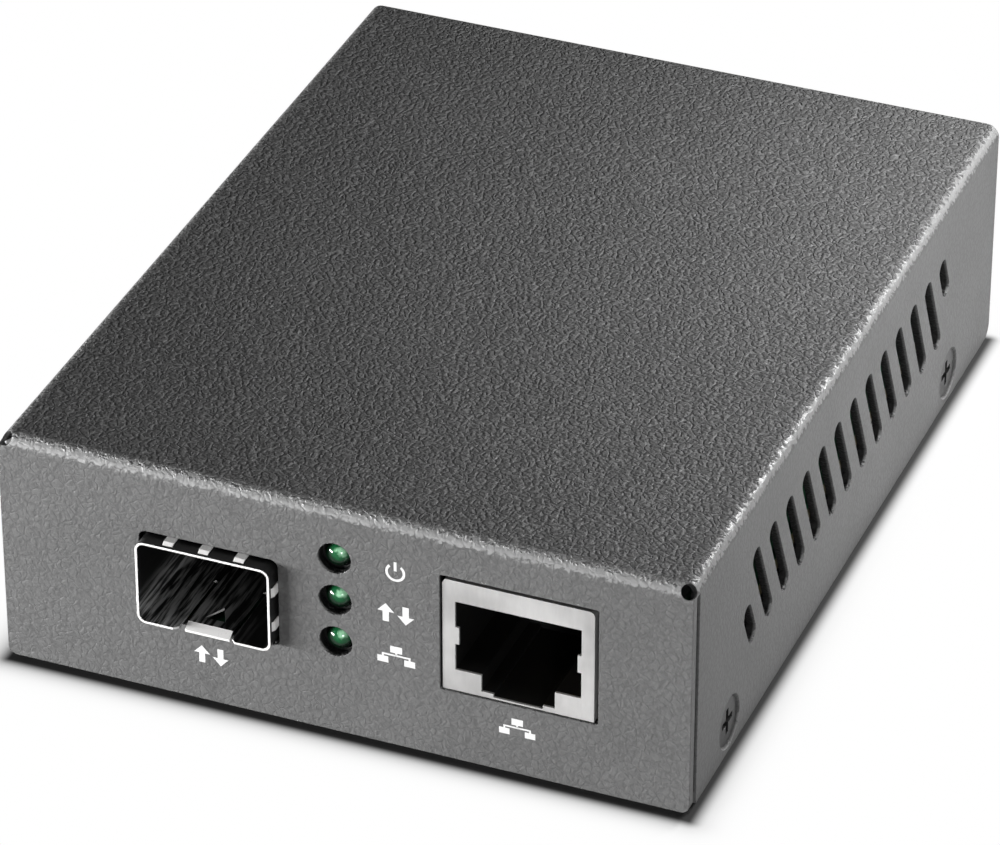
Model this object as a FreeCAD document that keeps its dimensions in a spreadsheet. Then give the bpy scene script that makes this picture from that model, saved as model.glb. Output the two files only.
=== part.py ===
"""Stand-alone fibre media converter: a folded steel case over one circuit board.

Frame: millimetres, +Z up, origin at the bottom centre of the case on the surface it
stands on. The socket panel faces -Y, the power inlet +Y.
"""
import FreeCAD, Part
import math
import os
import re
import Sketcher

# Driving sizes in millimetres and degrees. Each one is a cell of the sheet.
SIZES = {
    # Case: a cover slid over a tray
    "case_width": 73.0,
    "case_depth": 94.5,
    "case_height": 27.0,
    "cover_sheet": 1.0,
    "cover_bend": 1.4,
    "skirt_lift": 0.8,
    "seam_gap": 0.9,
    "relief_radius": 0.8,
    "cage_window_corner": 0.8,
    "socket_window_corner": 0.25,
    "panel_corner": 0.9,
    "skirt_corner": 1.6,
    "slip_gap": 0.15,
    "base_sheet": 1.0,
    "base_bend": 1.5,
    "tray_seam": 1.0,
    "rear_inset": 0.4,
    "flange_rise": 8.7,
    "flange_corner": 1.5,
    # Slanted vents in both side walls
    "vent_width": 2.2,
    "vent_low": 11.0,
    "vent_high": 19.4,
    "vent_slant": 25.5,
    "vent_pitch": 4.83,
    "vent_shift": 0.55,
    "vent_count": 12,
    "short_vent_rise": 3.0,
    # Countersunk side screws in pressed seats
    "side_screw_rise": 4.3,
    "side_screw_front": 11.25,
    "side_screw_rear": 14.65,
    "seat_mouth": 2.9,
    "seat_drop": 0.25,
    "seat_rise": 0.7,
    "seat_angle": 45.0,
    "seat_thinning": 0.414,
    "seat_gap": 0.2,
    "thread_radius": 1.5,
    "thread_gap": 0.05,
    "shank_hole_gap": 0.2,
    # Circuit board on pressed standoffs
    "board_sheet": 1.6,
    "board_side_gap": 0.3,
    "board_front_gap": 1.2,
    "board_rear_gap": 0.6,
    "board_corner": 1.0,
    "standoff_share": 0.6,
    "standoff_foot": 4.0,
    "standoff_top": 2.6,
    "standoff_wall": 0.9,
    "standoff_edge": 3.4,
    "standoff_front": 3.05,
    "standoff_rear": 7.25,
    "board_screw_head": 2.5,
    "board_screw_head_rise": 1.8,
    "board_screw_share": 0.55,
    "cross_width": 0.7,
    "cross_depth": 1.0,
    "hole_gap": 0.1,
    # Transceiver cage
    "sfp_x": -14.0,
    "sfp_width": 14.4,
    "sfp_height": 9.6,
    "sfp_stand": 0.7,
    "sfp_depth": 48.8,
    "sfp_proud": 1.6,
    "sfp_sheet": 0.25,
    "sfp_corner": 1.0,
    "sfp_side_gap": 0.25,
    "sfp_top_gap": 0.3,
    "finger_width": 1.1,
    "finger_pitch": 3.8,
    "finger_side_pitch": 4.0,
    "finger_reach": 4.6,
    "finger_sheet": 0.18,
    "tongue_width": 4.85,
    "tongue_slit": 0.45,
    "tongue_reach": 9.0,
    "tongue_setback": 0.8,
    "tongue_bend": 0.9,
    "tongue_drop": 0.5,
    "latch_hole": 2.2,
    "cage_pin": 0.5,
    "cage_pin_drop": 2.6,
    "cage_foot": 1.5,
    "cage_pin_count": 5,
    "cage_pin_start": 7.0,
    "cage_pin_end": 7.4,
    # Card connector inside the cage
    "card_width": 11.4,
    "card_height": 5.6,
    "card_depth": 8.6,
    "card_slot_width": 10.7,
    "card_slot_height": 1.3,
    "card_slot_depth": 5.6,
    "card_slot_rise": 2.6,
    "card_pitch": 0.8,
    "card_contacts": 10,
    "card_contact_width": 0.3,
    "card_contact_sheet": 0.2,
    "card_foot": 0.5,
    "card_bay": 10.5,
    # Network socket
    "socket_margin": 17.9,
    "rj45_width": 15.8,
    "rj45_height": 12.9,
    "rj45_depth": 16.0,
    "rj45_recess": 0.2,
    "rj45_sheet": 0.25,
    "rj45_side_gap": 0.35,
    "rj45_top_gap": 0.3,
    "socket_window_aside": 0.15,
    "socket_window_rise": 0.2,
    "rj45_corner": 0.6,
    "port_width": 13.1,
    "port_low": 2.5,
    "port_high": 10.5,
    "latch_step_width": 7.66,
    "latch_step_low": 0.6,
    "latch_notch_width": 5.16,
    "latch_notch_low": 0.2,
    "port_depth": 12.5,
    "port_tab": 0.4,
    "port_tab_rise": 2.0,
    "wire_pitch": 1.02,
    "wire_count": 8,
    "wire_width": 0.4,
    "wire_sheet": 0.3,
    "wire_setback": 2.4,
    "wire_tip_depth": 9.0,
    "wire_drop": 3.0,
    "leg_width": 1.2,
    "leg_drop": 2.8,
    # Indicator lamps in their holder
    "lamp_x": -0.5,
    "lamp_radius": 1.5,
    "lamp_window": 1.75,
    "lamp_low": 2.65,
    "lamp_pitch": 4.9,
    "lamp_recess": 0.15,
    "lamp_length": 5.3,
    "lamp_flange": 1.9,
    "lamp_flange_sheet": 0.9,
    "holder_width": 5.6,
    "holder_cheek": 0.8,
    "holder_depth": 9.4,
    "holder_gap": 0.2,
    "holder_head": 2.4,
    "lead_pitch": 2.54,
    "lead_width": 0.5,
    "lead_step": 1.6,
    "tail_reach": 0.9,
    # Power inlet
    "jack_margin": 16.5,
    "jack_width": 9.0,
    "jack_height": 11.0,
    "jack_depth": 14.2,
    "jack_face_depth": 3.4,
    "jack_body_height": 9.6,
    "jack_axis_rise": 6.5,
    "jack_bore": 3.15,
    "jack_bore_depth": 10.0,
    "jack_pin": 1.0,
    "jack_window": 4.0,
    "jack_gap": 0.2,
    "jack_tab_width": 2.4,
    "jack_tab_sheet": 0.4,
    # Parts soldered on the board: gaps are from the part in front, setbacks from the board's rear edge
    "transformer_gap": 4.4,
    "memory_gap": 3.0,
    "memory_aside": 2.1,
    "resistor_gap": 6.0,
    "crystal_gap": 27.0,
    "chip_gap": 3.0,
    "ceramic_start": 40.0,
    "input_can_gap": 0.8,
    "output_can_setback": 11.3,
    "inductor_setback": 15.3,
    "regulator_gap": 4.0,
    "transformer_width": 10.0,
    "transformer_length": 17.4,
    "transformer_height": 5.6,
    "transformer_pins": 12,
    "transformer_pitch": 1.27,
    "chip_x": 5.0,
    "chip_side": 10.0,
    "chip_height": 0.9,
    "chip_mark": 0.5,
    "small_chip_width": 3.9,
    "small_chip_length": 4.9,
    "small_chip_height": 1.5,
    "small_chip_pins": 4,
    "regulator_x": 6.0,
    "gull_sheet": 0.2,
    "gull_width": 0.42,
    "gull_foot": 0.7,
    "gull_reach": 1.1,
    "crystal_x": 5.0,
    "crystal_length": 11.0,
    "crystal_width": 4.6,
    "crystal_height": 3.5,
    "crystal_rim": 0.45,
    "inductor_x": -5.0,
    "inductor_side": 7.3,
    "inductor_height": 4.2,
    "input_can_x": 5.0,
    "input_can_radius": 4.0,
    "input_can_height": 11.5,
    "output_can_x": -16.0,
    "output_can_radius": 3.15,
    "output_can_height": 11.0,
    "can_groove": 0.35,
    "passive_length": 1.6,
    "passive_width": 0.8,
    "passive_height": 0.5,
    "passive_pitch": 2.4,
    "resistor_x": 14.5,
    "resistor_count": 7,
    "ceramic_x": -4.5,
    "ceramic_count": 6,
}

# Places and fits, each worked out from the sizes above.
FITS = {
    "front_face": "-case_depth / 2",
    "tray_half_width": "case_width / 2 - cover_sheet - slip_gap",
    "tray_front": "front_face + cover_sheet + slip_gap",
    "tray_rear": "case_depth / 2 - rear_inset",
    "tray_top": "case_height - cover_sheet - slip_gap",
    "spare_height": "case_height - cover_sheet - base_sheet - board_sheet - rj45_height",
    "standoff_rise": "standoff_share * spare_height",
    "board_screw_length": "board_sheet + board_screw_share * standoff_rise",
    "board_under": "base_sheet + standoff_rise",
    "board_top": "board_under + board_sheet",
    "board_half_width": "tray_half_width - base_sheet - seat_rise - board_side_gap",
    "board_front": "front_face + cover_sheet + board_front_gap",
    "board_rear": "tray_rear - base_sheet - board_rear_gap",
    "standoff_x": "board_half_width - standoff_edge",
    "standoff_front_y": "board_front + standoff_front",
    "standoff_rear_y": "board_rear - standoff_rear",
    "side_screw_front_y": "front_face + side_screw_front",
    "side_screw_rear_y": "case_depth / 2 - side_screw_rear",
    "side_screw_length": "cover_sheet + slip_gap + base_sheet + seat_rise - seat_drop",
    "shank_radius": "thread_radius - thread_gap",
    "shank_hole": "thread_radius + shank_hole_gap",
    "tray_seat": "seat_mouth + seat_thinning * cover_sheet - slip_gap + seat_gap",
    "sfp_mouth": "front_face - sfp_proud",
    "sfp_low": "board_top + sfp_stand",
    "card_front": "sfp_mouth + sfp_depth - card_bay + 3 * hole_gap",
    "card_ceiling": "card_slot_rise + card_slot_height",
    "cage_pin_pitch": "(sfp_depth - cage_pin_start - cage_pin_end) / (cage_pin_count - 1)",
    "rj45_x": "case_width / 2 - socket_margin",
    "rj45_front": "front_face + rj45_recess",
    "wire_back": "rj45_depth - rj45_sheet - hole_gap",
    "wire_top": "port_high - hole_gap / 2",
    "housing_rear": "wire_back - wire_sheet - hole_gap",
    "lamp_rear": "lamp_recess + lamp_length",
    "holder_front": "cover_sheet + holder_gap",
    "holder_rear": "lamp_rear - lamp_flange_sheet",
    "lead_rear": "lamp_rear + lead_step",
    "jack_x": "case_width / 2 - jack_margin",
    "jack_face": "tray_rear - base_sheet - jack_gap",
    "tail": "board_sheet + tail_reach",
    "transformer_x": "rj45_x",
    "transformer_reach": "transformer_width / 2 + gull_reach",
    "transformer_y": "rj45_front + rj45_depth + transformer_gap + transformer_reach",
    "memory_x": "rj45_x + memory_aside",
    "memory_y": "transformer_y + transformer_reach + memory_gap + small_chip_length / 2",
    "resistor_y": "memory_y + small_chip_length / 2 + resistor_gap",
    "lead_last": "front_face + lead_rear + 2 * lead_step + lead_width / 2",
    "crystal_y": "lead_last + crystal_gap + crystal_width / 2",
    "chip_y": "crystal_y + crystal_width / 2 + chip_gap + chip_side / 2",
    "ceramic_y": "sfp_mouth + ceramic_start",
    "input_can_y": "board_rear - input_can_gap - input_can_radius",
    "output_can_y": "board_rear - output_can_setback",
    "inductor_y": "board_rear - inductor_setback",
    "regulator_y": "input_can_y - input_can_radius - regulator_gap - small_chip_length / 2",
}

STRAIGHT_UP = FreeCAD.Vector(0, 0, 1)

DOC = FreeCAD.newDocument("media_converter")
SHEET = DOC.addObject("Spreadsheet::Sheet", "Sizes")
PARTS = []


def fill_sheet():
    """One row a size: its name, its value and the alias that expressions use."""
    for row, (name, size) in enumerate(SIZES.items(), 1):
        SHEET.set(f"A{row}", name)
        SHEET.set(f"B{row}", str(size))
        SHEET.setAlias(f"B{row}", name)
    DOC.recompute()


def linked(text):
    """The expression with each size pointed at the sheet and each fit written out."""
    def swap(match):
        word = match.group()
        if word in FITS:
            return f"({linked(FITS[word])})"
        return f"Sizes.{word}" if word in SIZES else word
    return re.sub(r"[a-z_][a-z_0-9]*", swap, str(text))


def value(text):
    """The number that an expression comes to now."""
    return float(SHEET.evalExpression(linked(text)))


def bind(item, **links):
    """Ties properties to expressions."""
    for name, text in links.items():
        item.setExpression(name, linked(text))


def place(item, x=0, y=0, z=0, rotation=None):
    """Ties the placement's base to three expressions, after an optional turn."""
    if rotation:
        item.Placement = FreeCAD.Placement(FreeCAD.Vector(), rotation)
    for axis, text in zip("xyz", (x, y, z)):
        item.setExpression(f"Placement.Base.{axis}", linked(text))


def new_body(label, rotation=None, **at):
    """An empty body that will be one kept sub-part."""
    body = DOC.addObject("PartDesign::Body", label)
    place(body, rotation=rotation, **at)
    PARTS.append(body)
    return body


def origin_feature(body, role):
    return next(item for item in body.Origin.OriginFeatures if item.Role == role)


def new_sketch(body, name, plane, level=0):
    """A sketch on an origin plane, moved to a level along the frame's own axis."""
    sketch = body.newObject("Sketcher::SketchObject", name)
    sketch.AttachmentSupport = [(origin_feature(body, f"{plane}_Plane"), "")]
    sketch.MapMode = "FlatFace"
    facing = "-1 * " if plane == "XZ" else ""
    sketch.setExpression("AttachmentOffset.Base.z", linked(f"{facing}({level})"))
    return sketch


def hold(sketch, kind, *geometry, size=None):
    """Adds a constraint, with its datum tied to an expression when one is given."""
    if size is None:
        sketch.addConstraint(Sketcher.Constraint(kind, *geometry))
        return
    row = sketch.addConstraint(Sketcher.Constraint(kind, *geometry, value(size)))
    sketch.setExpression(f"Constraints[{row}]", linked(size))


def hold_point(sketch, geometry, vertex, x, y):
    """Sets one vertex at (x, y) from the sketch's origin."""
    hold(sketch, "DistanceX", -1, 1, geometry, vertex, size=x)
    hold(sketch, "DistanceY", -1, 1, geometry, vertex, size=y)


def polygon(sketch, corners):
    """A closed outline of straight runs through corners given as expressions."""
    first = sketch.GeometryCount
    spots = [FreeCAD.Vector(value(x), value(y), 0) for x, y in corners]
    count = len(corners)
    for index in range(count):
        run = Part.LineSegment(spots[index], spots[(index + 1) % count])
        sketch.addGeometry(run, False)
    for index in range(count):
        hold(sketch, "Coincident", first + index, 2, first + (index + 1) % count, 1)
    for index, (x, y) in enumerate(corners):
        hold_point(sketch, first + index, 1, x, y)


def rectangle(sketch, x_low, y_low, x_high, y_high):
    polygon(sketch, [(x_low, y_low), (x_high, y_low), (x_high, y_high), (x_low, y_high)])


def circle(sketch, x, y, radius):
    centre = FreeCAD.Vector(value(x), value(y), 0)
    ring = sketch.addGeometry(Part.Circle(centre, STRAIGHT_UP, value(radius)), False)
    hold(sketch, "Radius", ring, size=radius)
    hold_point(sketch, ring, 3, x, y)


def rounded_outline(sketch, centres, radius):
    """A convex outline of equal arcs about the centres, joined by tangent runs."""
    first = sketch.GeometryCount
    count = len(centres)
    spots = [FreeCAD.Vector(value(x), value(y), 0) for x, y in centres]
    arc_radius = value(radius)
    headings = []
    for index in range(count):
        run = spots[(index + 1) % count] - spots[index]
        headings.append(math.atan2(run.y, run.x))
    for index in range(count):
        start = headings[index - 1] - math.pi / 2
        turn = (headings[index] - headings[index - 1]) % (2 * math.pi)
        ring = Part.Circle(spots[index], STRAIGHT_UP, arc_radius)
        sketch.addGeometry(Part.ArcOfCircle(ring, start, start + turn), False)
        aside = FreeCAD.Vector(math.sin(headings[index]), -math.cos(headings[index]), 0) * arc_radius
        run = Part.LineSegment(spots[index] + aside, spots[(index + 1) % count] + aside)
        sketch.addGeometry(run, False)
    total = 2 * count
    for index in range(total):
        hold(sketch, "Tangent", first + index, 2, first + (index + 1) % total, 1)
    for index, (x, y) in enumerate(centres):
        hold_point(sketch, first + 2 * index, 3, x, y)
        if index:
            hold(sketch, "Equal", first, first + 2 * index)
    hold(sketch, "Radius", first, size=radius)


def rounded_rectangle(sketch, x, y, width, height, radius):
    """A rectangle centred on (x, y) with round corners."""
    across = f"(({width}) / 2 - ({radius}))"
    along = f"(({height}) / 2 - ({radius}))"
    corners = [(-1, -1), (1, -1), (1, 1), (-1, 1)]
    centres = [(f"({x}) + {i} * {across}", f"({y}) + {j} * {along}") for i, j in corners]
    rounded_outline(sketch, centres, radius)


def extrude(body, name, kind, sketch, length, reversed, symmetric, taper):
    feature = body.newObject(f"PartDesign::{kind}", name)
    feature.Profile = sketch
    feature.Reversed = reversed
    feature.SideType = "Symmetric" if symmetric else "One side"
    if length is None:
        feature.Type = "ThroughAll"
    else:
        bind(feature, Length=length)
    if taper is not None:
        bind(feature, TaperAngle=taper)
    return feature


def pad(body, name, sketch, length, reversed=False, symmetric=False, taper=None):
    """Adds the outline's prism; a negative taper narrows it on the way."""
    return extrude(body, name, "Pad", sketch, length, reversed, symmetric, taper)


def pocket(body, name, sketch, length=None, reversed=False, symmetric=False, taper=None):
    """Removes the outline's prism: through everything when no length is given."""
    return extrude(body, name, "Pocket", sketch, length, reversed, symmetric, taper)


def revolve(body, name, sketch, axis="Z"):
    feature = body.newObject("PartDesign::Revolution", name)
    feature.Profile = sketch
    feature.ReferenceAxis = (origin_feature(body, f"{axis}_Axis"), [""])
    feature.Angle = 360.0
    return feature


def row(body, name, features, axis, pitch, count):
    """Repeats features along an origin axis."""
    feature = body.newObject("PartDesign::LinearPattern", name)
    feature.Originals = features
    feature.Direction = (origin_feature(body, f"{axis}_Axis"), [""])
    bind(feature, Length=f"({pitch}) * (({count}) - 1)", Occurrences=count)
    body.Tip = feature
    return feature


def mirror(body, name, features, plane):
    feature = body.newObject("PartDesign::Mirrored", name)
    feature.Originals = features
    feature.MirrorPlane = (origin_feature(body, f"{plane}_Plane"), [""])
    body.Tip = feature
    return feature


def bore(body, name, radius, height, rotation=None, **at):
    feature = body.newObject("PartDesign::SubtractiveCylinder", name)
    bind(feature, Radius=radius, Height=height)
    place(feature, rotation=rotation, **at)
    return feature


def round_edges(body, name, base, radius, chosen):
    """Fillets the edges of a feature whose bounding box passes the test."""
    DOC.recompute()
    names = [f"Edge{i}" for i, edge in enumerate(base.Shape.Edges, 1) if chosen(edge.BoundBox)]
    feature = body.newObject("PartDesign::Fillet", name)
    feature.Base = (base, names)
    bind(feature, Radius=radius)
    return feature


def shell(body, name, base, sheet, open_face):
    """Hollows a solid inwards, leaving out the faces that pass the test."""
    DOC.recompute()
    names = [f"Face{i}" for i, face in enumerate(base.Shape.Faces, 1) if open_face(face.BoundBox)]
    feature = body.newObject("PartDesign::Thickness", name)
    feature.Base = (base, names)
    feature.Reversed = True
    bind(feature, Value=sheet)
    return feature


def same(a, b):
    return abs(a - b) < 1e-4


# Cover: one folded sheet of steel with the top, the socket panel and both sides

def cover_shell(body):
    """The bent blank, open below and at the rear."""
    footprint = new_sketch(body, "CoverFootprint", "XY", "skirt_lift")
    rectangle(footprint, "-case_width / 2", "front_face", "case_width / 2", "case_depth / 2")
    block = pad(body, "CoverBlock", footprint, "case_height - skirt_lift")
    top, rear, low = value("case_height"), value("case_depth / 2"), value("skirt_lift")
    bends = round_edges(body, "CoverBends", block, "cover_bend",
                        lambda box: same(box.ZMin, top) and not same(box.YMin, rear))
    folded = shell(body, "CoverSheet", bends, "cover_sheet",
                   lambda box: same(box.YMin, rear) or same(box.ZMax, low))
    return folded


def cover_seams(body):
    """The open joints beside the socket panel, each ending in a round relief."""
    seams = new_sketch(body, "SeamOutlines", "XY", "skirt_lift")
    for side in (-1, 1):
        near = f"{side} * (case_width / 2 - cover_sheet)"
        far = f"{side} * (case_width / 2 + cover_sheet)"
        low, high = (near, far) if side > 0 else (far, near)
        rectangle(seams, low, "front_face + cover_sheet", high, "front_face + cover_sheet + seam_gap")
    pocket(body, "Seams", seams, "case_height - skirt_lift - cover_bend", reversed=True)
    reach = "3 * cover_sheet"
    step = f"{reach} / sqrt(3)"
    diagonal = FreeCAD.Rotation(STRAIGHT_UP, FreeCAD.Vector(1, -1, 1))
    relief = bore(body, "CornerRelief", "relief_radius", f"2 * {reach}", rotation=diagonal,
                  x=f"case_width / 2 - {step}", y=f"front_face + {step}", z=f"case_height - {step}")
    mirror(body, "CornerReliefs", [relief], "YZ")


def cover_corners(body):
    """Rounds the lower corners of the socket panel and of the side walls."""
    low = value("skirt_lift")
    front_inner = value("front_face + cover_sheet")
    rear = value("case_depth / 2")
    side = value("case_width / 2")
    panel = round_edges(body, "PanelCorners", body.Tip, "panel_corner",
                        lambda box: same(box.ZMin, low) and same(box.ZMax, low)
                        and same(abs(box.XMin), side) and same(box.XMin, box.XMax)
                        and box.YMax < front_inner + 1e-4)
    round_edges(body, "SkirtCorners", panel, "skirt_corner",
                lambda box: same(box.ZMin, low) and same(box.ZMax, low)
                and same(box.YMin, rear) and same(box.YMax, rear))


def cover_windows(body):
    """Cut-outs for the transceiver cage, the network socket and the three lamps."""
    windows = new_sketch(body, "WindowOutlines", "XZ", "front_face")
    rounded_rectangle(windows, "sfp_x", "sfp_low + sfp_height / 2",
                      "sfp_width + 2 * sfp_side_gap", "sfp_height + 2 * sfp_top_gap",
                      "cage_window_corner")
    rounded_rectangle(windows, "rj45_x + socket_window_aside",
                      "board_top + rj45_height / 2 + socket_window_rise",
                      "rj45_width + 2 * rj45_side_gap", "rj45_height + 2 * rj45_top_gap",
                      "socket_window_corner")
    for rank in range(3):
        circle(windows, "lamp_x", f"board_top + lamp_low + {rank} * lamp_pitch", "lamp_window")
    pocket(body, "Windows", windows, "2 * cover_sheet")


def cover_vents(body):
    """Slanted slots through both side walls, with a short one at each end of the row."""
    lean = "tan(vent_slant)"
    middle = "((vent_low + vent_high) / 2)"
    first = "(-vent_pitch * (vent_count - 1) / 2 - vent_shift)"
    last = "(vent_pitch * (vent_count - 1) / 2 - vent_shift)"

    def slot(sketch, start, low, high):
        ends = [(f"{start} + {lean} * ({middle} - ({z}))", z) for z in (low, high)]
        rounded_outline(sketch, ends, "vent_width / 2")

    long_slot = new_sketch(body, "VentOutline", "YZ")
    slot(long_slot, first, "vent_low", "vent_high")
    vent = pocket(body, "Vent", long_slot, symmetric=True)
    row(body, "Vents", [vent], "Y", "vent_pitch", "vent_count")
    short_slots = new_sketch(body, "ShortVentOutlines", "YZ")
    slot(short_slots, f"({first} - vent_pitch)", "vent_low", "vent_low + short_vent_rise")
    slot(short_slots, f"({last} + vent_pitch)", "vent_high - short_vent_rise", "vent_high")
    pocket(body, "ShortVents", short_slots, symmetric=True)


def pressed_seats(body, surface, sheet, mouth, depth, hole):
    """Conical seats pressed inwards at the side screws: bosses, recesses and holes."""
    boss = f"({mouth} + seat_thinning * {sheet})"
    inner = f"({surface} - {sheet})"

    def ring(name, level, radius):
        sketch = new_sketch(body, name, "YZ", level)
        for end in ("front", "rear"):
            circle(sketch, f"side_screw_{end}_y", "side_screw_rise", radius)
        return sketch

    bosses = pad(body, "SeatBosses", ring("BossRings", inner, boss), "seat_rise",
                 reversed=True, taper="-seat_angle")
    recesses = pocket(body, "SeatRecesses", ring("MouthRings", surface, mouth), depth, taper="-seat_angle")
    holes = pocket(body, "SeatHoles", ring("HoleRings", surface, hole), f"{sheet} + 2 * seat_rise")
    mirror(body, "SeatsBothSides", [bosses, recesses, holes], "YZ")


def make_cover():
    body = new_body("cover")
    cover_shell(body)
    cover_seams(body)
    cover_corners(body)
    pressed_seats(body, "(case_width / 2)", "cover_sheet", "seat_mouth", "seat_mouth - shank_hole",
                  "shank_hole")
    cover_windows(body)
    cover_vents(body)


# Tray: one folded sheet with the bottom, the inlet panel and two low side flanges

def tray_shell(body):
    footprint = new_sketch(body, "TrayFootprint", "XY")
    rectangle(footprint, "-1 * tray_half_width", "tray_front", "tray_half_width", "tray_rear")
    block = pad(body, "TrayBlock", footprint, "tray_top")
    front, top = value("tray_front"), value("tray_top")
    bends = round_edges(body, "TrayBends", block, "base_bend",
                        lambda box: same(box.ZMax, 0) and not same(box.YMax, front))
    shell(body, "TraySheet", bends, "base_sheet",
          lambda box: same(box.YMax, front) or same(box.ZMin, top))


def tray_flanges(body):
    """Lowers the side walls to flanges and parts them from the inlet panel."""
    behind = "tray_rear - base_sheet"
    above = new_sketch(body, "AboveFlanges", "YZ")
    rectangle(above, "tray_front - base_sheet", "flange_rise", behind, "case_height")
    pocket(body, "LowFlanges", above, symmetric=True)
    seams = new_sketch(body, "TraySeamOutline", "YZ")
    rectangle(seams, f"{behind} - tray_seam", "base_bend", behind, "flange_rise + tray_seam")
    parted = pocket(body, "TraySeams", seams, symmetric=True)
    top = value("flange_rise")
    ends = (value("tray_front"), value(f"{behind} - tray_seam"))
    round_edges(body, "FlangeCorners", parted, "flange_corner",
                lambda box: same(box.ZMin, top) and same(box.ZMax, top) and same(box.YMin, box.YMax)
                and (same(box.YMin, ends[0]) or same(box.YMin, ends[1])))


def standoff_spots():
    for side in (-1, 1):
        for end in ("front", "rear"):
            yield f"{side} * standoff_x", f"standoff_{end}_y"


def tray_standoffs(body):
    """Four hollow pillars pressed up from the bottom, tapped for the board screws."""
    taper = "-1 * atan((standoff_foot - standoff_top) / standoff_rise)"

    def ring(name, level, radius):
        sketch = new_sketch(body, name, "XY", level)
        for x, y in standoff_spots():
            circle(sketch, x, y, radius)
        return sketch

    pad(body, "Pillars", ring("PillarRings", "base_sheet", "standoff_foot"), "standoff_rise", taper=taper)
    pocket(body, "Hollows", ring("HollowRings", 0, "standoff_foot - standoff_wall / 3"),
           "standoff_rise", reversed=True, taper=taper)
    pocket(body, "TappedHoles", ring("TappedRings", "board_under", "thread_radius"), "2 * standoff_wall")


def make_base_tray():
    body = new_body("base_tray")
    tray_shell(body)
    tray_flanges(body)
    inlet = new_sketch(body, "InletOutline", "XZ", "tray_rear")
    circle(inlet, "jack_x", "board_top + jack_axis_rise", "jack_window")
    pocket(body, "InletWindow", inlet, "2 * base_sheet", reversed=True)
    pressed_seats(body, "tray_half_width", "base_sheet", "tray_seat", "base_sheet", "thread_radius")
    tray_standoffs(body)


# Board and the places of what is fixed to it

def cage_pin_spots():
    """Two rows of pins under the cage's side walls."""
    for side in (-1, 1):
        for rank in range(int(SIZES["cage_pin_count"])):
            yield (f"sfp_x + {side} * (sfp_width - sfp_sheet) / 2",
                   f"sfp_mouth + cage_pin_start + {rank} * cage_pin_pitch")


def socket_pin_spots():
    for rank in range(int(SIZES["wire_count"])):
        yield (f"rj45_x + ({rank} - (wire_count - 1) / 2) * wire_pitch",
               "rj45_front + wire_back - wire_sheet / 2")


def lamp_lead_spots():
    for rank in range(3):
        for side in (-1, 1):
            yield (f"lamp_x + {side} * lead_pitch / 2",
                   f"front_face + lead_rear + ({rank}) * lead_step")


def make_main_board():
    body = new_body("main_board", z="board_under")
    outline = new_sketch(body, "BoardOutline", "XY")
    rounded_rectangle(outline, 0, "(board_front + board_rear) / 2", "2 * board_half_width",
                      "board_rear - board_front", "board_corner")
    pad(body, "BoardPlate", outline, "board_sheet")
    holes = new_sketch(body, "BoardHoles", "XY")
    for x, y in standoff_spots():
        circle(holes, x, y, "shank_hole")
    for x, y in cage_pin_spots():
        circle(holes, x, y, "cage_pin / 2 + 2 * hole_gap")
    for x, y in socket_pin_spots():
        circle(holes, x, y, "wire_width / 2 + hole_gap")
    for x, y in lamp_lead_spots():
        circle(holes, x, y, "lead_width / 2 + 2 * hole_gap")
    for side in (-1, 1):
        circle(holes, f"rj45_x + {side} * (rj45_width - rj45_sheet) / 2",
               "rj45_front + rj45_depth / 2", "leg_width / 2 + hole_gap")
    circle(holes, "jack_x", "jack_face - jack_depth - jack_tab_sheet / 2", "jack_tab_width / 2 + hole_gap")
    pocket(body, "DrilledHoles", holes, "board_sheet", reversed=True)


# Transceiver cage: one folded sheet, its own origin at the middle of its mouth's lower edge

def cage_tube(body):
    footprint = new_sketch(body, "CageOutline", "XZ")
    rounded_rectangle(footprint, 0, "sfp_height / 2", "sfp_width", "sfp_height", "sfp_corner")
    block = pad(body, "CageBlock", footprint, "sfp_depth", reversed=True)
    shell(body, "CageSheet", block, "sfp_sheet", lambda box: same(box.YMin, 0) and same(box.YMax, 0))


def cage_floor(body):
    """The rear bay for the card connector, and the latch tongue between its slits."""
    bay = new_sketch(body, "CardBay", "XY", 0)
    rectangle(bay, "-1 * card_width / 2 - 2 * hole_gap", "sfp_depth - card_bay",
              "card_width / 2 + 2 * hole_gap", "sfp_depth - 2 * sfp_sheet")
    pocket(body, "CardBayCut", bay, "2 * sfp_sheet", reversed=True)
    half = "(tongue_width / 2)"
    slit = "(tongue_width / 2 + tongue_slit)"
    flare = "(tongue_width / 2 + 2 * tongue_slit)"
    tongue = new_sketch(body, "TongueSlits", "XY", 0)
    polygon(tongue, [
        (f"-1 * {flare}", "-1 * tongue_setback"), (flare, "-1 * tongue_setback"),
        (flare, 0), (slit, "tongue_slit"), (slit, "tongue_reach"), (half, "tongue_reach"),
        (half, "tongue_setback + tongue_bend"), (f"-1 * {half}", "tongue_setback + tongue_bend"),
        (f"-1 * {half}", "tongue_reach"), (f"-1 * {slit}", "tongue_reach"),
        (f"-1 * {slit}", "tongue_slit"), (f"-1 * {flare}", 0)])
    pocket(body, "TongueCut", tongue, "2 * sfp_sheet", reversed=True)
    latch = new_sketch(body, "LatchHole", "XY", 0)
    near = "(tongue_setback + tongue_bend + latch_hole / 2)"
    polygon(latch, [("-1 * latch_hole / 2", near), ("latch_hole / 2", near), (0, f"{near} + latch_hole")])
    pocket(body, "LatchCut", latch, "2 * sfp_sheet", reversed=True)
    lip = new_sketch(body, "TongueLip", "YZ")
    bend = "(tongue_setback + tongue_bend)"
    polygon(lip, [(bend, 0), (bend, "sfp_sheet"), ("tongue_setback", "sfp_sheet - tongue_drop"),
                  ("tongue_setback", "-1 * tongue_drop")])
    pad(body, "TongueLipSheet", lip, "tongue_width", symmetric=True)


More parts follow.
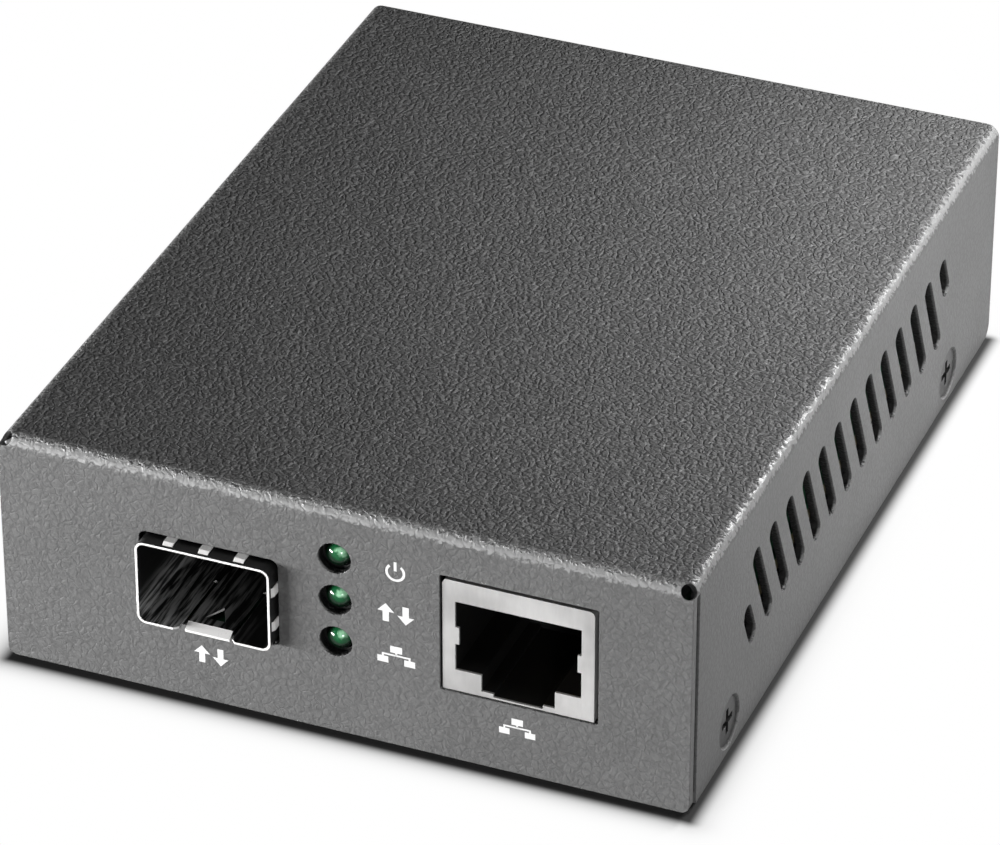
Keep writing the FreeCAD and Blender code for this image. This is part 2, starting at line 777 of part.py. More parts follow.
def finger(sketch, wall, crest, flip=False, sign=1):
    """A bowed spring strip on a wall, given along the depth and away from the wall."""
    root = "sfp_sheet / 3"
    profile = [
        ("sfp_sheet", f"-{root}"), ("3 * sfp_sheet", crest),
        ("finger_reach - 4 * sfp_sheet", crest), ("finger_reach", f"-{root}"),
        ("finger_reach - sfp_sheet", f"-{root}"),
        ("finger_reach - 4.5 * sfp_sheet", f"{crest} - finger_sheet"),
        ("3.5 * sfp_sheet", f"{crest} - finger_sheet"), ("2 * sfp_sheet", f"-{root}")]
    points = [(along, f"{sign} * ({wall} + ({away}))") for along, away in profile]
    polygon(sketch, [(y, x) for x, y in points] if flip else points)


def cage_fingers(body):
    """Spring fingers that close the gap between the cage and the panel's cut-out."""
    top = new_sketch(body, "TopFinger", "YZ", "-1 * finger_pitch")
    finger(top, "sfp_height", "0.9 * sfp_top_gap")
    top_finger = pad(body, "TopFingerStrip", top, "finger_width", symmetric=True)
    row(body, "TopFingers", [top_finger], "X", "finger_pitch", 3)
    sides = new_sketch(body, "SideFingers", "XY", "(sfp_height - finger_side_pitch) / 2")
    for sign in (-1, 1):
        finger(sides, "sfp_width / 2", "0.9 * sfp_side_gap", flip=True, sign=sign)
    side_finger = pad(body, "SideFingerStrips", sides, "finger_width", symmetric=True)
    row(body, "SideFingerRows", [side_finger], "Z", "finger_side_pitch", 2)


def cage_pins(body):
    """Feet that stand on the board under the side walls, each with a pin through it."""
    pins = new_sketch(body, "CagePinOutlines", "XY", "sfp_corner")
    feet = new_sketch(body, "CageFootOutlines", "XY", "sfp_corner")
    for side in (-1, 1):
        middle = f"{side} * (sfp_width - sfp_sheet) / 2"
        rectangle(pins, f"{middle} - sfp_sheet / 2", "cage_pin_start - cage_pin / 2",
                  f"{middle} + sfp_sheet / 2", "cage_pin_start + cage_pin / 2")
        rectangle(feet, f"{middle} - sfp_sheet / 2", "cage_pin_start - cage_foot / 2",
                  f"{middle} + sfp_sheet / 2", "cage_pin_start + cage_foot / 2")
    pair = pad(body, "CagePinPair", pins, "cage_pin_drop + sfp_corner + sfp_stand", reversed=True)
    stands = pad(body, "CageFootPair", feet, "sfp_corner + sfp_stand", reversed=True)
    row(body, "CagePinRows", [pair, stands], "Y", "cage_pin_pitch", "cage_pin_count")


def make_sfp_cage():
    body = new_body("sfp_cage", x="sfp_x", y="sfp_mouth", z="sfp_low")
    cage_tube(body)
    cage_floor(body)
    cage_fingers(body)
    cage_pins(body)


# Card connector at the back of the cage, its origin at the middle of its front foot

def card_rows():
    """Each contact row: its height in the slot, its shift sideways and its drop's setback."""
    yield "card_ceiling", "0", "card_contact_sheet + 2 * hole_gap"
    yield "card_slot_rise + card_contact_sheet", "card_pitch / 2", "0"


def make_sfp_connector():
    body = new_body("sfp_connector", x="sfp_x", y="card_front", z="board_top")
    outline = new_sketch(body, "CardBlockOutline", "XY")
    rectangle(outline, "-card_width / 2", 0, "card_width / 2", "card_depth")
    pad(body, "CardBlock", outline, "card_height")
    slot = new_sketch(body, "CardSlotOutline", "XZ")
    rectangle(slot, "-card_slot_width / 2", "card_slot_rise", "card_slot_width / 2", "card_ceiling")
    pocket(body, "CardSlot", slot, "card_slot_depth")
    for rank, (level, shift, setback) in enumerate(card_rows()):
        channel = new_sketch(body, f"ChannelOutline{rank}", "XZ", "card_slot_depth")
        middle = f"({shift} - card_pitch * card_contacts / 2 + card_pitch / 4)"
        half = "(card_contact_width / 2 + hole_gap / 2)"
        rectangle(channel, f"{middle} - {half}", f"{level} - card_contact_sheet", f"{middle} + {half}", level)
        one = pocket(body, f"Channel{rank}", channel, "card_depth")
        row(body, f"Channels{rank}", [one], "X", "card_pitch", "card_contacts")


def make_sfp_contacts():
    """Flat springs along the slot, each led out behind and down to a foot on the board."""
    body = new_body("sfp_contacts", x="sfp_x", y="card_front", z="board_top")
    for rank, (level, shift, setback) in enumerate(card_rows()):
        drop = f"(card_depth + hole_gap + {setback})"
        first = f"{shift} - card_pitch * card_contacts / 2 + card_pitch / 4"
        profile = new_sketch(body, f"ContactOutline{rank}", "YZ", first)
        polygon(profile, [
            ("card_foot", level), (f"{drop} + card_contact_sheet", level),
            (f"{drop} + card_contact_sheet", "card_contact_sheet"),
            (f"{drop} + card_contact_sheet + hole_gap", "card_contact_sheet"),
            (f"{drop} + card_contact_sheet + hole_gap", 0), (drop, 0),
            (drop, f"{level} - card_contact_sheet"), ("card_foot", f"{level} - card_contact_sheet")])
        one = pad(body, f"Contact{rank}", profile, "card_contact_width", symmetric=True)
        row(body, f"Contacts{rank}", [one], "X", "card_pitch", "card_contacts")


# Network socket: its origin is at the middle of the shield's front foot

def port_outline(sketch, tab):
    """The plug's opening with the stepped latch way below it; tabs stand in from its sides."""
    half, step, notch = "port_width / 2", "latch_step_width / 2", "latch_notch_width / 2"
    middle = "(port_low + port_high) / 2"
    right = [
        (notch, "latch_notch_low"), (notch, "latch_step_low"), (step, "latch_step_low"),
        (step, "port_low"), (half, "port_low")]
    if tab:
        right += [
            (half, f"{middle} - port_tab_rise / 2"), (f"{half} - port_tab", f"{middle} - port_tab_rise / 2"),
            (f"{half} - port_tab", f"{middle} + port_tab_rise / 2"), (half, f"{middle} + port_tab_rise / 2")]
    right.append((half, "port_high"))
    left = [(f"-1 * ({x})", z) for x, z in reversed(right)]
    polygon(sketch, right + left)


def make_rj45_shield():
    body = new_body("rj45_shield", x="rj45_x", y="rj45_front", z="board_top")
    outline = new_sketch(body, "ShieldOutline", "XZ")
    rectangle(outline, "-rj45_width / 2", 0, "rj45_width / 2", "rj45_height")
    block = pad(body, "ShieldBlock", outline, "rj45_depth", reversed=True)
    top = value("rj45_height")
    bends = round_edges(body, "ShieldBends", block, "rj45_corner",
                        lambda box: same(box.ZMin, top) and same(box.XMin, box.XMax))
    shell(body, "ShieldSheet", bends, "rj45_sheet", lambda box: same(box.ZMax, 0))
    port = new_sketch(body, "ShieldPort", "XZ")
    port_outline(port, tab=True)
    pocket(body, "ShieldPortCut", port, "2 * rj45_sheet")
    legs = new_sketch(body, "LegOutlines", "XY", "leg_width")
    for side in (-1, 1):
        middle = f"{side} * (rj45_width - rj45_sheet) / 2"
        rectangle(legs, f"{middle} - rj45_sheet / 2", "rj45_depth / 2 - leg_width / 2",
                  f"{middle} + rj45_sheet / 2", "rj45_depth / 2 + leg_width / 2")
    pad(body, "Legs", legs, "leg_width + leg_drop", reversed=True)


def make_rj45_housing():
    body = new_body("rj45_housing", x="rj45_x", y="rj45_front", z="board_top")
    inside = "(rj45_width / 2 - rj45_sheet - hole_gap / 2)"
    outline = new_sketch(body, "HousingOutline", "XZ", "rj45_sheet")
    top, cut = "(rj45_height - rj45_sheet - hole_gap / 2)", "rj45_corner / 2"
    polygon(outline, [
        (f"-1 * {inside}", 0), (inside, 0), (inside, f"{top} - {cut}"), (f"{inside} - {cut}", top),
        (f"{cut} - {inside}", top), (f"-1 * {inside}", f"{top} - {cut}")])
    pad(body, "HousingBlock", outline, "housing_rear - rj45_sheet", reversed=True)
    port = new_sketch(body, "HousingPort", "XZ", "rj45_sheet")
    port_outline(port, tab=False)
    pocket(body, "PortCavity", port, "port_depth")
    channel = new_sketch(body, "WireChannelOutline", "XZ", "port_depth")
    middle = "(-wire_pitch * (wire_count - 1) / 2)"
    rectangle(channel, f"{middle} - wire_width / 2 - hole_gap / 2", "wire_top - wire_sheet - hole_gap / 2",
              f"{middle} + wire_width / 2 + hole_gap / 2", "port_high")
    one = pocket(body, "WireChannel", channel, "rj45_depth")
    row(body, "WireChannels", [one], "X", "wire_pitch", "wire_count")


def make_rj45_contacts():
    """Spring wires bent back into the port, led out over its rear wall and down."""
    body = new_body("rj45_contacts", x="rj45_x", y="rj45_front", z="board_top")
    profile = new_sketch(body, "WireOutline", "YZ", "-wire_pitch * (wire_count - 1) / 2")
    polygon(profile, [
        ("wire_back", "-1 * tail"), ("wire_back", "wire_top"), ("wire_setback", "wire_top"),
        ("wire_setback - wire_sheet / 3", "wire_top - wire_sheet * 2 / 3"),
        ("wire_tip_depth", "wire_top - wire_drop"),
        ("wire_tip_depth + wire_sheet / 3", "wire_top - wire_drop + wire_sheet"),
        ("wire_setback + 3 * wire_sheet", "wire_top - wire_sheet"),
        ("wire_back - wire_sheet", "wire_top - wire_sheet"), ("wire_back - wire_sheet", "-1 * tail")])
    one = pad(body, "Wire", profile, "wire_width", symmetric=True)
    row(body, "Wires", [one], "X", "wire_pitch", "wire_count")


# Indicator lamps: one holder, three moulded lamps and their six leads

def make_lamp(label, rank):
    """Body of revolution: its origin is the dome's tip and it runs back along +Y."""
    body = new_body(label, x="lamp_x", y="front_face + lamp_recess",
                    z=f"board_top + lamp_low + {rank} * lamp_pitch")
    profile = new_sketch(body, "LampOutline", "YZ")
    shoulder = "lamp_length - lamp_flange_sheet"
    polygon(profile, [
        (0, 0), ("lamp_length", 0), ("lamp_length", "lamp_flange"), (shoulder, "lamp_flange"),
        (shoulder, "lamp_radius"), (0, "lamp_radius")])
    barrel = revolve(body, "LampBarrel", profile, "Y")
    round_edges(body, "LampDome", barrel, "0.97 * lamp_radius",
                lambda box: same(box.YMin, 0) and same(box.YMax, 0))


def make_led_holder():
    body = new_body("led_holder", x="lamp_x", y="front_face", z="board_top")
    outline = new_sketch(body, "HolderOutline", "XY")
    half = "(holder_width / 2)"
    inner = "(holder_width / 2 - holder_cheek)"
    polygon(outline, [
        (f"-1 * {half}", "holder_front"), (half, "holder_front"), (half, "holder_depth"),
        (inner, "holder_depth"), (inner, "holder_rear"), (f"-1 * {inner}", "holder_rear"),
        (f"-1 * {inner}", "holder_depth"), (f"-1 * {half}", "holder_depth")])
    pad(body, "HolderBlock", outline, "lamp_low + 2 * lamp_pitch + holder_head")
    bores = new_sketch(body, "LampBores", "XZ", "holder_front")
    for rank in range(3):
        circle(bores, 0, f"lamp_low + {rank} * lamp_pitch", "lamp_radius + hole_gap / 2")
    pocket(body, "LampBoreCuts", bores, "holder_depth")


def make_led_leads():
    body = new_body("led_leads", x="lamp_x", y="front_face", z="board_top")
    leads = new_sketch(body, "LeadOutlines", "YZ", "-lead_pitch / 2")
    half = "(lead_width / 2)"
    for rank in range(3):
        level = f"(lamp_low + {rank} * lamp_pitch)"
        behind = f"(lead_rear + {rank} * lead_step)"
        polygon(leads, [
            ("lamp_rear", f"{level} - {half}"), (f"{behind} - {half}", f"{level} - {half}"),
            (f"{behind} - {half}", "-1 * tail"), (f"{behind} + {half}", "-1 * tail"),
            (f"{behind} + {half}", f"{level} + {half}"), ("lamp_rear", f"{level} + {half}")])
    three = pad(body, "LeadsOneSide", leads, "lead_width", symmetric=True)
    row(body, "LeadsBothSides", [three], "X", "lead_pitch", 2)


# Power inlet: its origin is below the middle of its mouth, which faces +Y

def make_dc_jack_housing():
    body = new_body("dc_jack_housing", x="jack_x", y="jack_face", z="board_top")
    profile = new_sketch(body, "JackOutline", "YZ")
    polygon(profile, [
        (0, 0), (0, "jack_height"), ("-jack_face_depth", "jack_height"),
        ("-jack_face_depth", "jack_body_height"), ("-jack_depth", "jack_body_height"), ("-jack_depth", 0)])
    pad(body, "JackBlock", profile, "jack_width", symmetric=True)
    mouth = new_sketch(body, "JackMouth", "XZ")
    circle(mouth, 0, "jack_axis_rise", "jack_bore")
    pocket(body, "JackBore", mouth, "jack_bore_depth", reversed=True)


def make_dc_jack_pin():
    body = new_body("dc_jack_pin", x="jack_x", y="jack_face", z="board_top + jack_axis_rise")
    profile = new_sketch(body, "PinOutline", "YZ")
    root = "-jack_bore_depth"
    polygon(profile, [
        (root, 0), (root, "1.6 * jack_pin"), (f"{root} + jack_pin / 2", "1.6 * jack_pin"),
        (f"{root} + jack_pin / 2", "jack_pin"), ("-jack_pin", "jack_pin"), ("-jack_pin", 0)])
    barrel = revolve(body, "PinBarrel", profile, "Y")
    tip = value("-jack_pin")
    round_edges(body, "PinTip", barrel, "0.9 * jack_pin",
                lambda box: same(box.YMin, tip) and same(box.YMax, tip))


def make_dc_jack_contacts():
    """The sleeve's leaf spring along the bottom of the bore, and the tab behind the housing."""
    body = new_body("dc_jack_contacts", x="jack_x", y="jack_face", z="board_top")
    spring = new_sketch(body, "LeafOutline", "YZ")
    low = "(jack_axis_rise - jack_bore + 1.5 * hole_gap)"
    high = f"({low} + jack_tab_sheet)"
    crest = f"({high} + jack_tab_sheet)"
    root = "-jack_bore_depth"
    polygon(spring, [
        (root, low), ("-jack_pin", low), ("-jack_pin", high), ("-2 * jack_pin", high),
        ("-jack_bore_depth / 2 + jack_pin / 2", crest), ("-jack_bore_depth / 2 - jack_pin / 2", crest),
        ("-jack_bore_depth + 2 * jack_pin", high), (root, high)])
    pad(body, "LeafSpring", spring, "1.6 * jack_pin", symmetric=True)
    tab = new_sketch(body, "TabOutline", "YZ")
    rectangle(tab, "-jack_depth - jack_tab_sheet", "-1 * tail", "-jack_depth", "jack_axis_rise")
    pad(body, "RearTab", tab, "jack_tab_width", symmetric=True)


# Parts soldered flat on the board: each origin is the middle of the part's footprint

def make_package(label, x, y, width, length, height, rotation=None):
    """A moulded block with its pin-one mark."""
    body = new_body(label, x=x, y=y, z="board_top", rotation=rotation)
    outline = new_sketch(body, "PackageOutline", "XY")
    rectangle(outline, f"-{width} / 2", f"-{length} / 2", f"{width} / 2", f"{length} / 2")
    pad(body, "PackageBlock", outline, height)
    mark = new_sketch(body, "MarkOutline", "XY", height)
    circle(mark, f"-{width} / 2 + 2.4 * chip_mark", f"{length} / 2 - 2.4 * chip_mark", "chip_mark")
    pocket(body, "PinOneMark", mark, "hole_gap")


def make_gull_leads(label, x, y, width, height, pitch, count, rotation=None):
    """Two rows of leads bent down from a block's sides to feet on the board."""
    body = new_body(label, x=x, y=y, z="board_top", rotation=rotation)
    leads = new_sketch(body, "GullOutlines", "XZ", f"-{pitch} * ({count} - 1) / 2")
    side, level = f"{width} / 2", f"({height} / 2)"
    profile = [
        (side, f"{level} - gull_sheet"), (f"{side} + gull_reach / 4", f"{level} - gull_sheet"),
        (f"{side} + gull_reach - gull_foot", 0), (f"{side} + gull_reach", 0),
        (f"{side} + gull_reach", "gull_sheet"),
        (f"{side} + gull_reach - gull_foot + gull_sheet", "gull_sheet"),
        (f"{side} + gull_reach / 4 + gull_sheet", level), (side, level)]
    for sign in (-1, 1):
        polygon(leads, [(f"{sign} * ({across})", rise) for across, rise in profile])
    pair = pad(body, "GullPair", leads, "gull_width", symmetric=True)
    row(body, "GullRows", [pair], "Y", pitch, count)


def make_crystal():
    """A drawn can with round ends on a slightly larger rim."""
    body = new_body("crystal", x="crystal_x", y="crystal_y", z="board_top")

    def outline(name, radius):
        sketch = new_sketch(body, name, "XY")
        reach = "(crystal_length - crystal_width) / 2"
        rounded_outline(sketch, [(f"-1 * {reach}", 0), (reach, 0)], radius)
        return sketch

    pad(body, "CrystalRim", outline("RimOutline", "crystal_width / 2"), "crystal_rim")
    pad(body, "CrystalCan", outline("CanOutline", "crystal_width / 2 - crystal_rim"), "crystal_height")


def make_power_inductor():
    body = new_body("power_inductor", x="inductor_x", y="inductor_y", z="board_top")
    outline = new_sketch(body, "InductorOutline", "XY")
    rounded_rectangle(outline, 0, 0, "inductor_side", "inductor_side", "inductor_side / 6")
    pad(body, "InductorBlock", outline, "inductor_height")
    well = new_sketch(body, "CoreOutline", "XY", "inductor_height")
    circle(well, 0, 0, "inductor_side * 0.4")
    pocket(body, "CoreWell", well, "inductor_height / 10")


def make_can(label, side):
    """An aluminium capacitor with the crimped groove above its seal."""
    body = new_body(label, x=f"{side}_can_x", y=f"{side}_can_y", z="board_top")
    profile = new_sketch(body, "CanOutline", "XZ")
    edge, tall, step = f"{side}_can_radius", f"{side}_can_height", "can_groove"
    polygon(profile, [
        (0, 0), (f"{edge} - {step}", 0), (edge, step), (edge, f"4 * {step}"),
        (f"{edge} - {step}", f"5 * {step}"), (f"{edge} - {step}", f"6 * {step}"), (edge, f"7 * {step}"),
        (edge, f"{tall} - {step}"), (f"{edge} - {step}", tall), (0, tall)])
    revolve(body, "CanBarrel", profile)


def make_passives(label, x, y, axis, count):
    """A row of small two-ended chips."""
    body = new_body(label, x=x, y=y, z="board_top")
    outline = new_sketch(body, "ChipOutline", "XY")
    long_half, short_half = "passive_length / 2", "passive_width / 2"
    across, along = (short_half, long_half) if axis == "X" else (long_half, short_half)
    rectangle(outline, f"-1 * {across}", f"-1 * {along}", across, along)
    chip = pad(body, "Chip", outline, "passive_height")
    row(body, "ChipRow", [chip], axis, "passive_pitch", count)


# Screws: one pattern of each kind, its head's top at the origin, set four times

def cross_recess(body, head):
    """The driver's cross in the head."""
    recess = new_sketch(body, "CrossOutline", "XY")
    arm, half = f"(0.55 * {head})", "(cross_width / 2)"
    quarter = [(half, half), (half, arm), (f"-1 * {half}", arm)]
    corners = []
    for turn in range(4):
        for x, y in quarter:
            corners.append(((x, y), (f"-1 * {y}", x), (f"-1 * {x}", f"-1 * {y}"), (y, f"-1 * {x}"))[turn])
    polygon(recess, corners)
    pocket(body, "CrossRecess", recess, "cross_depth")


def screw_pattern(name, head, profile):
    body = DOC.addObject("PartDesign::Body", name)
    outline = new_sketch(body, f"{name}Outline", "XZ")
    polygon(outline, profile)
    revolve(body, f"{name}Turned", outline)
    cross_recess(body, head)
    return body


def screw_set(label, pattern, spots):
    """Copies of one screw at spots given as turn and place."""
    copies = []
    for rank, (rotation, x, y, z) in enumerate(spots):
        copy = DOC.addObject("App::Link", f"{label}_{rank}")
        copy.LinkedObject = pattern
        copy.LinkPlacement = FreeCAD.Placement(FreeCAD.Vector(), rotation)
        for axis, text in zip("xyz", (x, y, z)):
            copy.setExpression(f"LinkPlacement.Base.{axis}", linked(text))
        copies.append(copy)
    group = DOC.addObject("Part::Compound", label)
    group.Links = copies
    PARTS.append(group)


def make_cover_screws():
    head = "(seat_mouth - seat_drop - hole_gap / 4)"
    sunk = screw_pattern("SideScrew", head, [
        (0, 0), (head, 0), ("shank_radius", f"shank_radius - {head}"),
        ("shank_radius", "-side_screw_length"), (0, "-side_screw_length")])
    spots = []
    for side in (-1, 1):
        outwards = FreeCAD.Rotation(STRAIGHT_UP, FreeCAD.Vector(side, 0, 0))
        for end in ("front", "rear"):
            spots.append((outwards, f"{side} * (case_width / 2 - seat_drop)",
                          f"side_screw_{end}_y", "side_screw_rise"))
    screw_set("cover_screws", sunk, spots)


def make_board_screws():
    domed = screw_pattern("BoardScrew", "board_screw_head", [
        (0, 0), ("0.6 * board_screw_head", 0), ("board_screw_head", "-board_screw_head_rise / 2"),
        ("board_screw_head", "-board_screw_head_rise"), ("shank_radius", "-board_screw_head_rise"),
        ("shank_radius", "-board_screw_head_rise - board_screw_length"),
        (0, "-board_screw_head_rise - board_screw_length")])
    upright = FreeCAD.Rotation()
    spots = [(upright, x, y, "board_top + board_screw_head_rise") for x, y in standoff_spots()]
    screw_set("board_screws", domed, spots)


def make_lamps():
    for rank, label in enumerate(("copper_led", "fibre_led", "power_led")):
        make_lamp(label, rank)


def make_power_inlet():
    make_dc_jack_housing()
    make_dc_jack_pin()
    make_dc_jack_contacts()


def make_board_parts():
    quarter_turn = FreeCAD.Rotation(STRAIGHT_UP, 90)
    make_package("line_transformer", "transformer_x", "transformer_y", "transformer_width",
                 "transformer_length", "transformer_height", quarter_turn)
    make_gull_leads("transformer_leads", "transformer_x", "transformer_y", "transformer_width",
                    "transformer_height", "transformer_pitch", "transformer_pins", quarter_turn)
    make_package("converter_chip", "chip_x", "chip_y", "chip_side", "chip_side", "chip_height")
    for name in ("memory", "regulator"):
        make_package(f"{name}_chip", f"{name}_x", f"{name}_y", "small_chip_width",
                     "small_chip_length", "small_chip_height")
        make_gull_leads(f"{name}_leads", f"{name}_x", f"{name}_y", "small_chip_width",
                        "small_chip_height", "transformer_pitch", "small_chip_pins")
    make_crystal()
    make_power_inductor()
    make_can("input_capacitor", "input")
    make_can("output_capacitor", "output")
    make_passives("chip_resistors", "resistor_x", "resistor_y", "Y", "resistor_count")
    make_passives("chip_capacitors", "ceramic_x", "ceramic_y", "Y", "ceramic_count")


def check_model():
    """Stops on any object that failed or came out empty."""
    for item in DOC.Objects:
        if "Invalid" in item.State or "Error" in item.State:
            raise RuntimeError(f"{item.Label} failed: {item.State}")
    for item in DOC.Objects:
        if item.TypeId == "PartDesign::Pocket":
            if item.BaseFeature.Shape.Volume - item.Shape.Volume < 1e-6:
                raise RuntimeError(f"{item.Label} removes nothing")
    for part in PARTS:
        if part.Shape.isNull() or not part.Shape.isValid():
            raise RuntimeError(f"{part.Label} has no valid shape")


def write_parts():
    os.makedirs("parts", exist_ok=True)
    for part in PARTS:
        part.Shape.exportStep(f"parts/{part.Label}.step")


fill_sheet()
make_cover()
make_base_tray()
make_main_board()
make_sfp_cage()
make_sfp_connector()
make_sfp_contacts()
make_rj45_shield()
make_rj45_housing()
make_rj45_contacts()
make_led_holder()
make_lamps()
make_led_leads()
make_power_inlet()
make_board_parts()
make_cover_screws()
make_board_screws()
DOC.recompute()
check_model()
write_parts()
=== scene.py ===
"""Looks of a stand-alone fibre media converter.

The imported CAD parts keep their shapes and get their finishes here: wrinkled charcoal
powder coat, plated sockets, tinted lamps and a soldered board. Added pieces are the white
print, the solder, the plated chip ends and the drilled vias. Lengths are in metres.
"""
import math

import bpy
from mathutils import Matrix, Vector


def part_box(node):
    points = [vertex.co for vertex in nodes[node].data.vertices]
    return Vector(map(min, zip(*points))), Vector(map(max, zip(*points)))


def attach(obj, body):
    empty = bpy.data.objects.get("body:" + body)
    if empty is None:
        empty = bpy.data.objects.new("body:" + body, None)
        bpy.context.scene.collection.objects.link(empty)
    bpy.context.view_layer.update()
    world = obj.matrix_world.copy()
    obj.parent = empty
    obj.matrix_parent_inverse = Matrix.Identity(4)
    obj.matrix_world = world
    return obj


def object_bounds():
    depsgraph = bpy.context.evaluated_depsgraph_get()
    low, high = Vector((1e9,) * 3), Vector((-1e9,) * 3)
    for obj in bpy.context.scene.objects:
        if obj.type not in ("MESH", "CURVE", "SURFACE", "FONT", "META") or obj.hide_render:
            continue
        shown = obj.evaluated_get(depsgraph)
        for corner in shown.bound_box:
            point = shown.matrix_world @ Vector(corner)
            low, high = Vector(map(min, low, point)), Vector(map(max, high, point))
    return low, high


MM = 0.001

# Print on the socket panel
PRINT_SHEET = 0.02 * MM
LAMP_MARK_GAP = 6.4 * MM
LAMP_MARK_SIZE = 1.05 * MM
PORT_MARK_DROP = 2.6 * MM
PORT_MARK_SIZE = 1.0 * MM
RING_STEPS = 28
RING_START = math.radians(130)
RING_SWEEP = math.radians(280)
RING_BORE = 0.74

# Wrinkle coat: sizes of its cells and grain in millimetres, depths in metres, brightness
PILLOW_SIZE = 0.85
GRAIN_SIZE = 0.42
WRINKLE_DEPTH = 0.26 * MM
BEND_SOFTENING = 0.12 * MM
COVER_LEVEL = 0.125
TRAY_LEVEL = 0.11

# Forms that the finishes follow, in millimetres: the case's sheet and bends, the cage's
# spring fingers and latch tongue, and where the painted reflection streaks in its mouth fade
CASE_SHEET = 1.0
BEND_REACH = 2.0
FINGER_RISE = 0.27
FINGER_ASIDE = 0.225
TONGUE_HALF = 2.9
LIP_DEPTH = 1.9
REFLECTION_START = 6.0
REFLECTION_END = 18.0

# Solder, plating and drilling on the board
WELD_REACH = 0.02 * MM
TAIL_REACH = 0.15 * MM
TAIL_SPREAD = 0.6875 * MM
FILLET_SHARE = 1.7
TIP_SHARE = 1.05
FILLET_HEIGHT = 0.45 * MM
FILLET_WAIST = 0.7
FILLET_SIDES = 20
FILLET_STEPS = 6
PLATING = 0.02 * MM
CAP_SHARE = 0.24
VIA_RADIUS = 0.28 * MM
VIA_PITCH = 1.9 * MM
VIA_SHARE = 0.3
VIA_SIDES = 16
VIA_SEED = 7

# Camera, fitted to the photographed corners of the case
CAMERA_PLACE = Vector((0.1866, -0.4703, 0.3366))
CAMERA_AZIMUTH = math.radians(21.87)
CAMERA_PITCH = math.radians(32.94)
CAMERA_LENS = 207.9
CAMERA_SENSOR = 36.0
CAMERA_CLIP = 0.01

# Room: what lights the case, and what shiny metal sees of it
ROOM_FILL = 0.03
ROOM_GLOSS = 0.03
EDGE_LIGHT_DISTANCE = 0.6

# Floor: its half width in metres, its painted shadow grey at the case and its grey away, and
# its shadow's reach in millimetres
FLOOR_REACH = 3.0
PAINTED_SHADOW_LEVEL = 0.07
PAPER_LEVEL = 0.86
SIDE_SHADOW = 0.8
SHADOW_FADE = 1.5
SHADOW_CURVE = 1.5
SHADOW_REACH = 8.0

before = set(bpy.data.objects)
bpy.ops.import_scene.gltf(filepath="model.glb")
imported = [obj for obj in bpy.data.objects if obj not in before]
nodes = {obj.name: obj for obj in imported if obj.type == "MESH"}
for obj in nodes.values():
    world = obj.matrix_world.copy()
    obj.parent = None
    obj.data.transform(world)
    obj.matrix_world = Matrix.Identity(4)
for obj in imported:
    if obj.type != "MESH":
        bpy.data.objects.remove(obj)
cad_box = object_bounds()


# Materials

class Wire:
    """One output of a finish's nodes. Arithmetic on it adds Math nodes."""

    def __init__(self, finish, socket):
        self.finish = finish
        self.socket = socket

    def _math(self, operation, first, second):
        return self.finish.node("ShaderNodeMath", {"operation": operation}, [first, second])

    def __add__(self, other):
        return self._math("ADD", self, other)

    def __radd__(self, other):
        return self._math("ADD", other, self)

    def __sub__(self, other):
        return self._math("SUBTRACT", self, other)

    def __rsub__(self, other):
        return self._math("SUBTRACT", other, self)

    def __mul__(self, other):
        return self._math("MULTIPLY", self, other)

    def __rmul__(self, other):
        return self._math("MULTIPLY", other, self)

    def __pow__(self, other):
        return self._math("POWER", self, other)

    def __abs__(self):
        return self._math("ABSOLUTE", self, 0.0)

    def above(self, other):
        """The larger of the two."""
        return self._math("MAXIMUM", self, other)


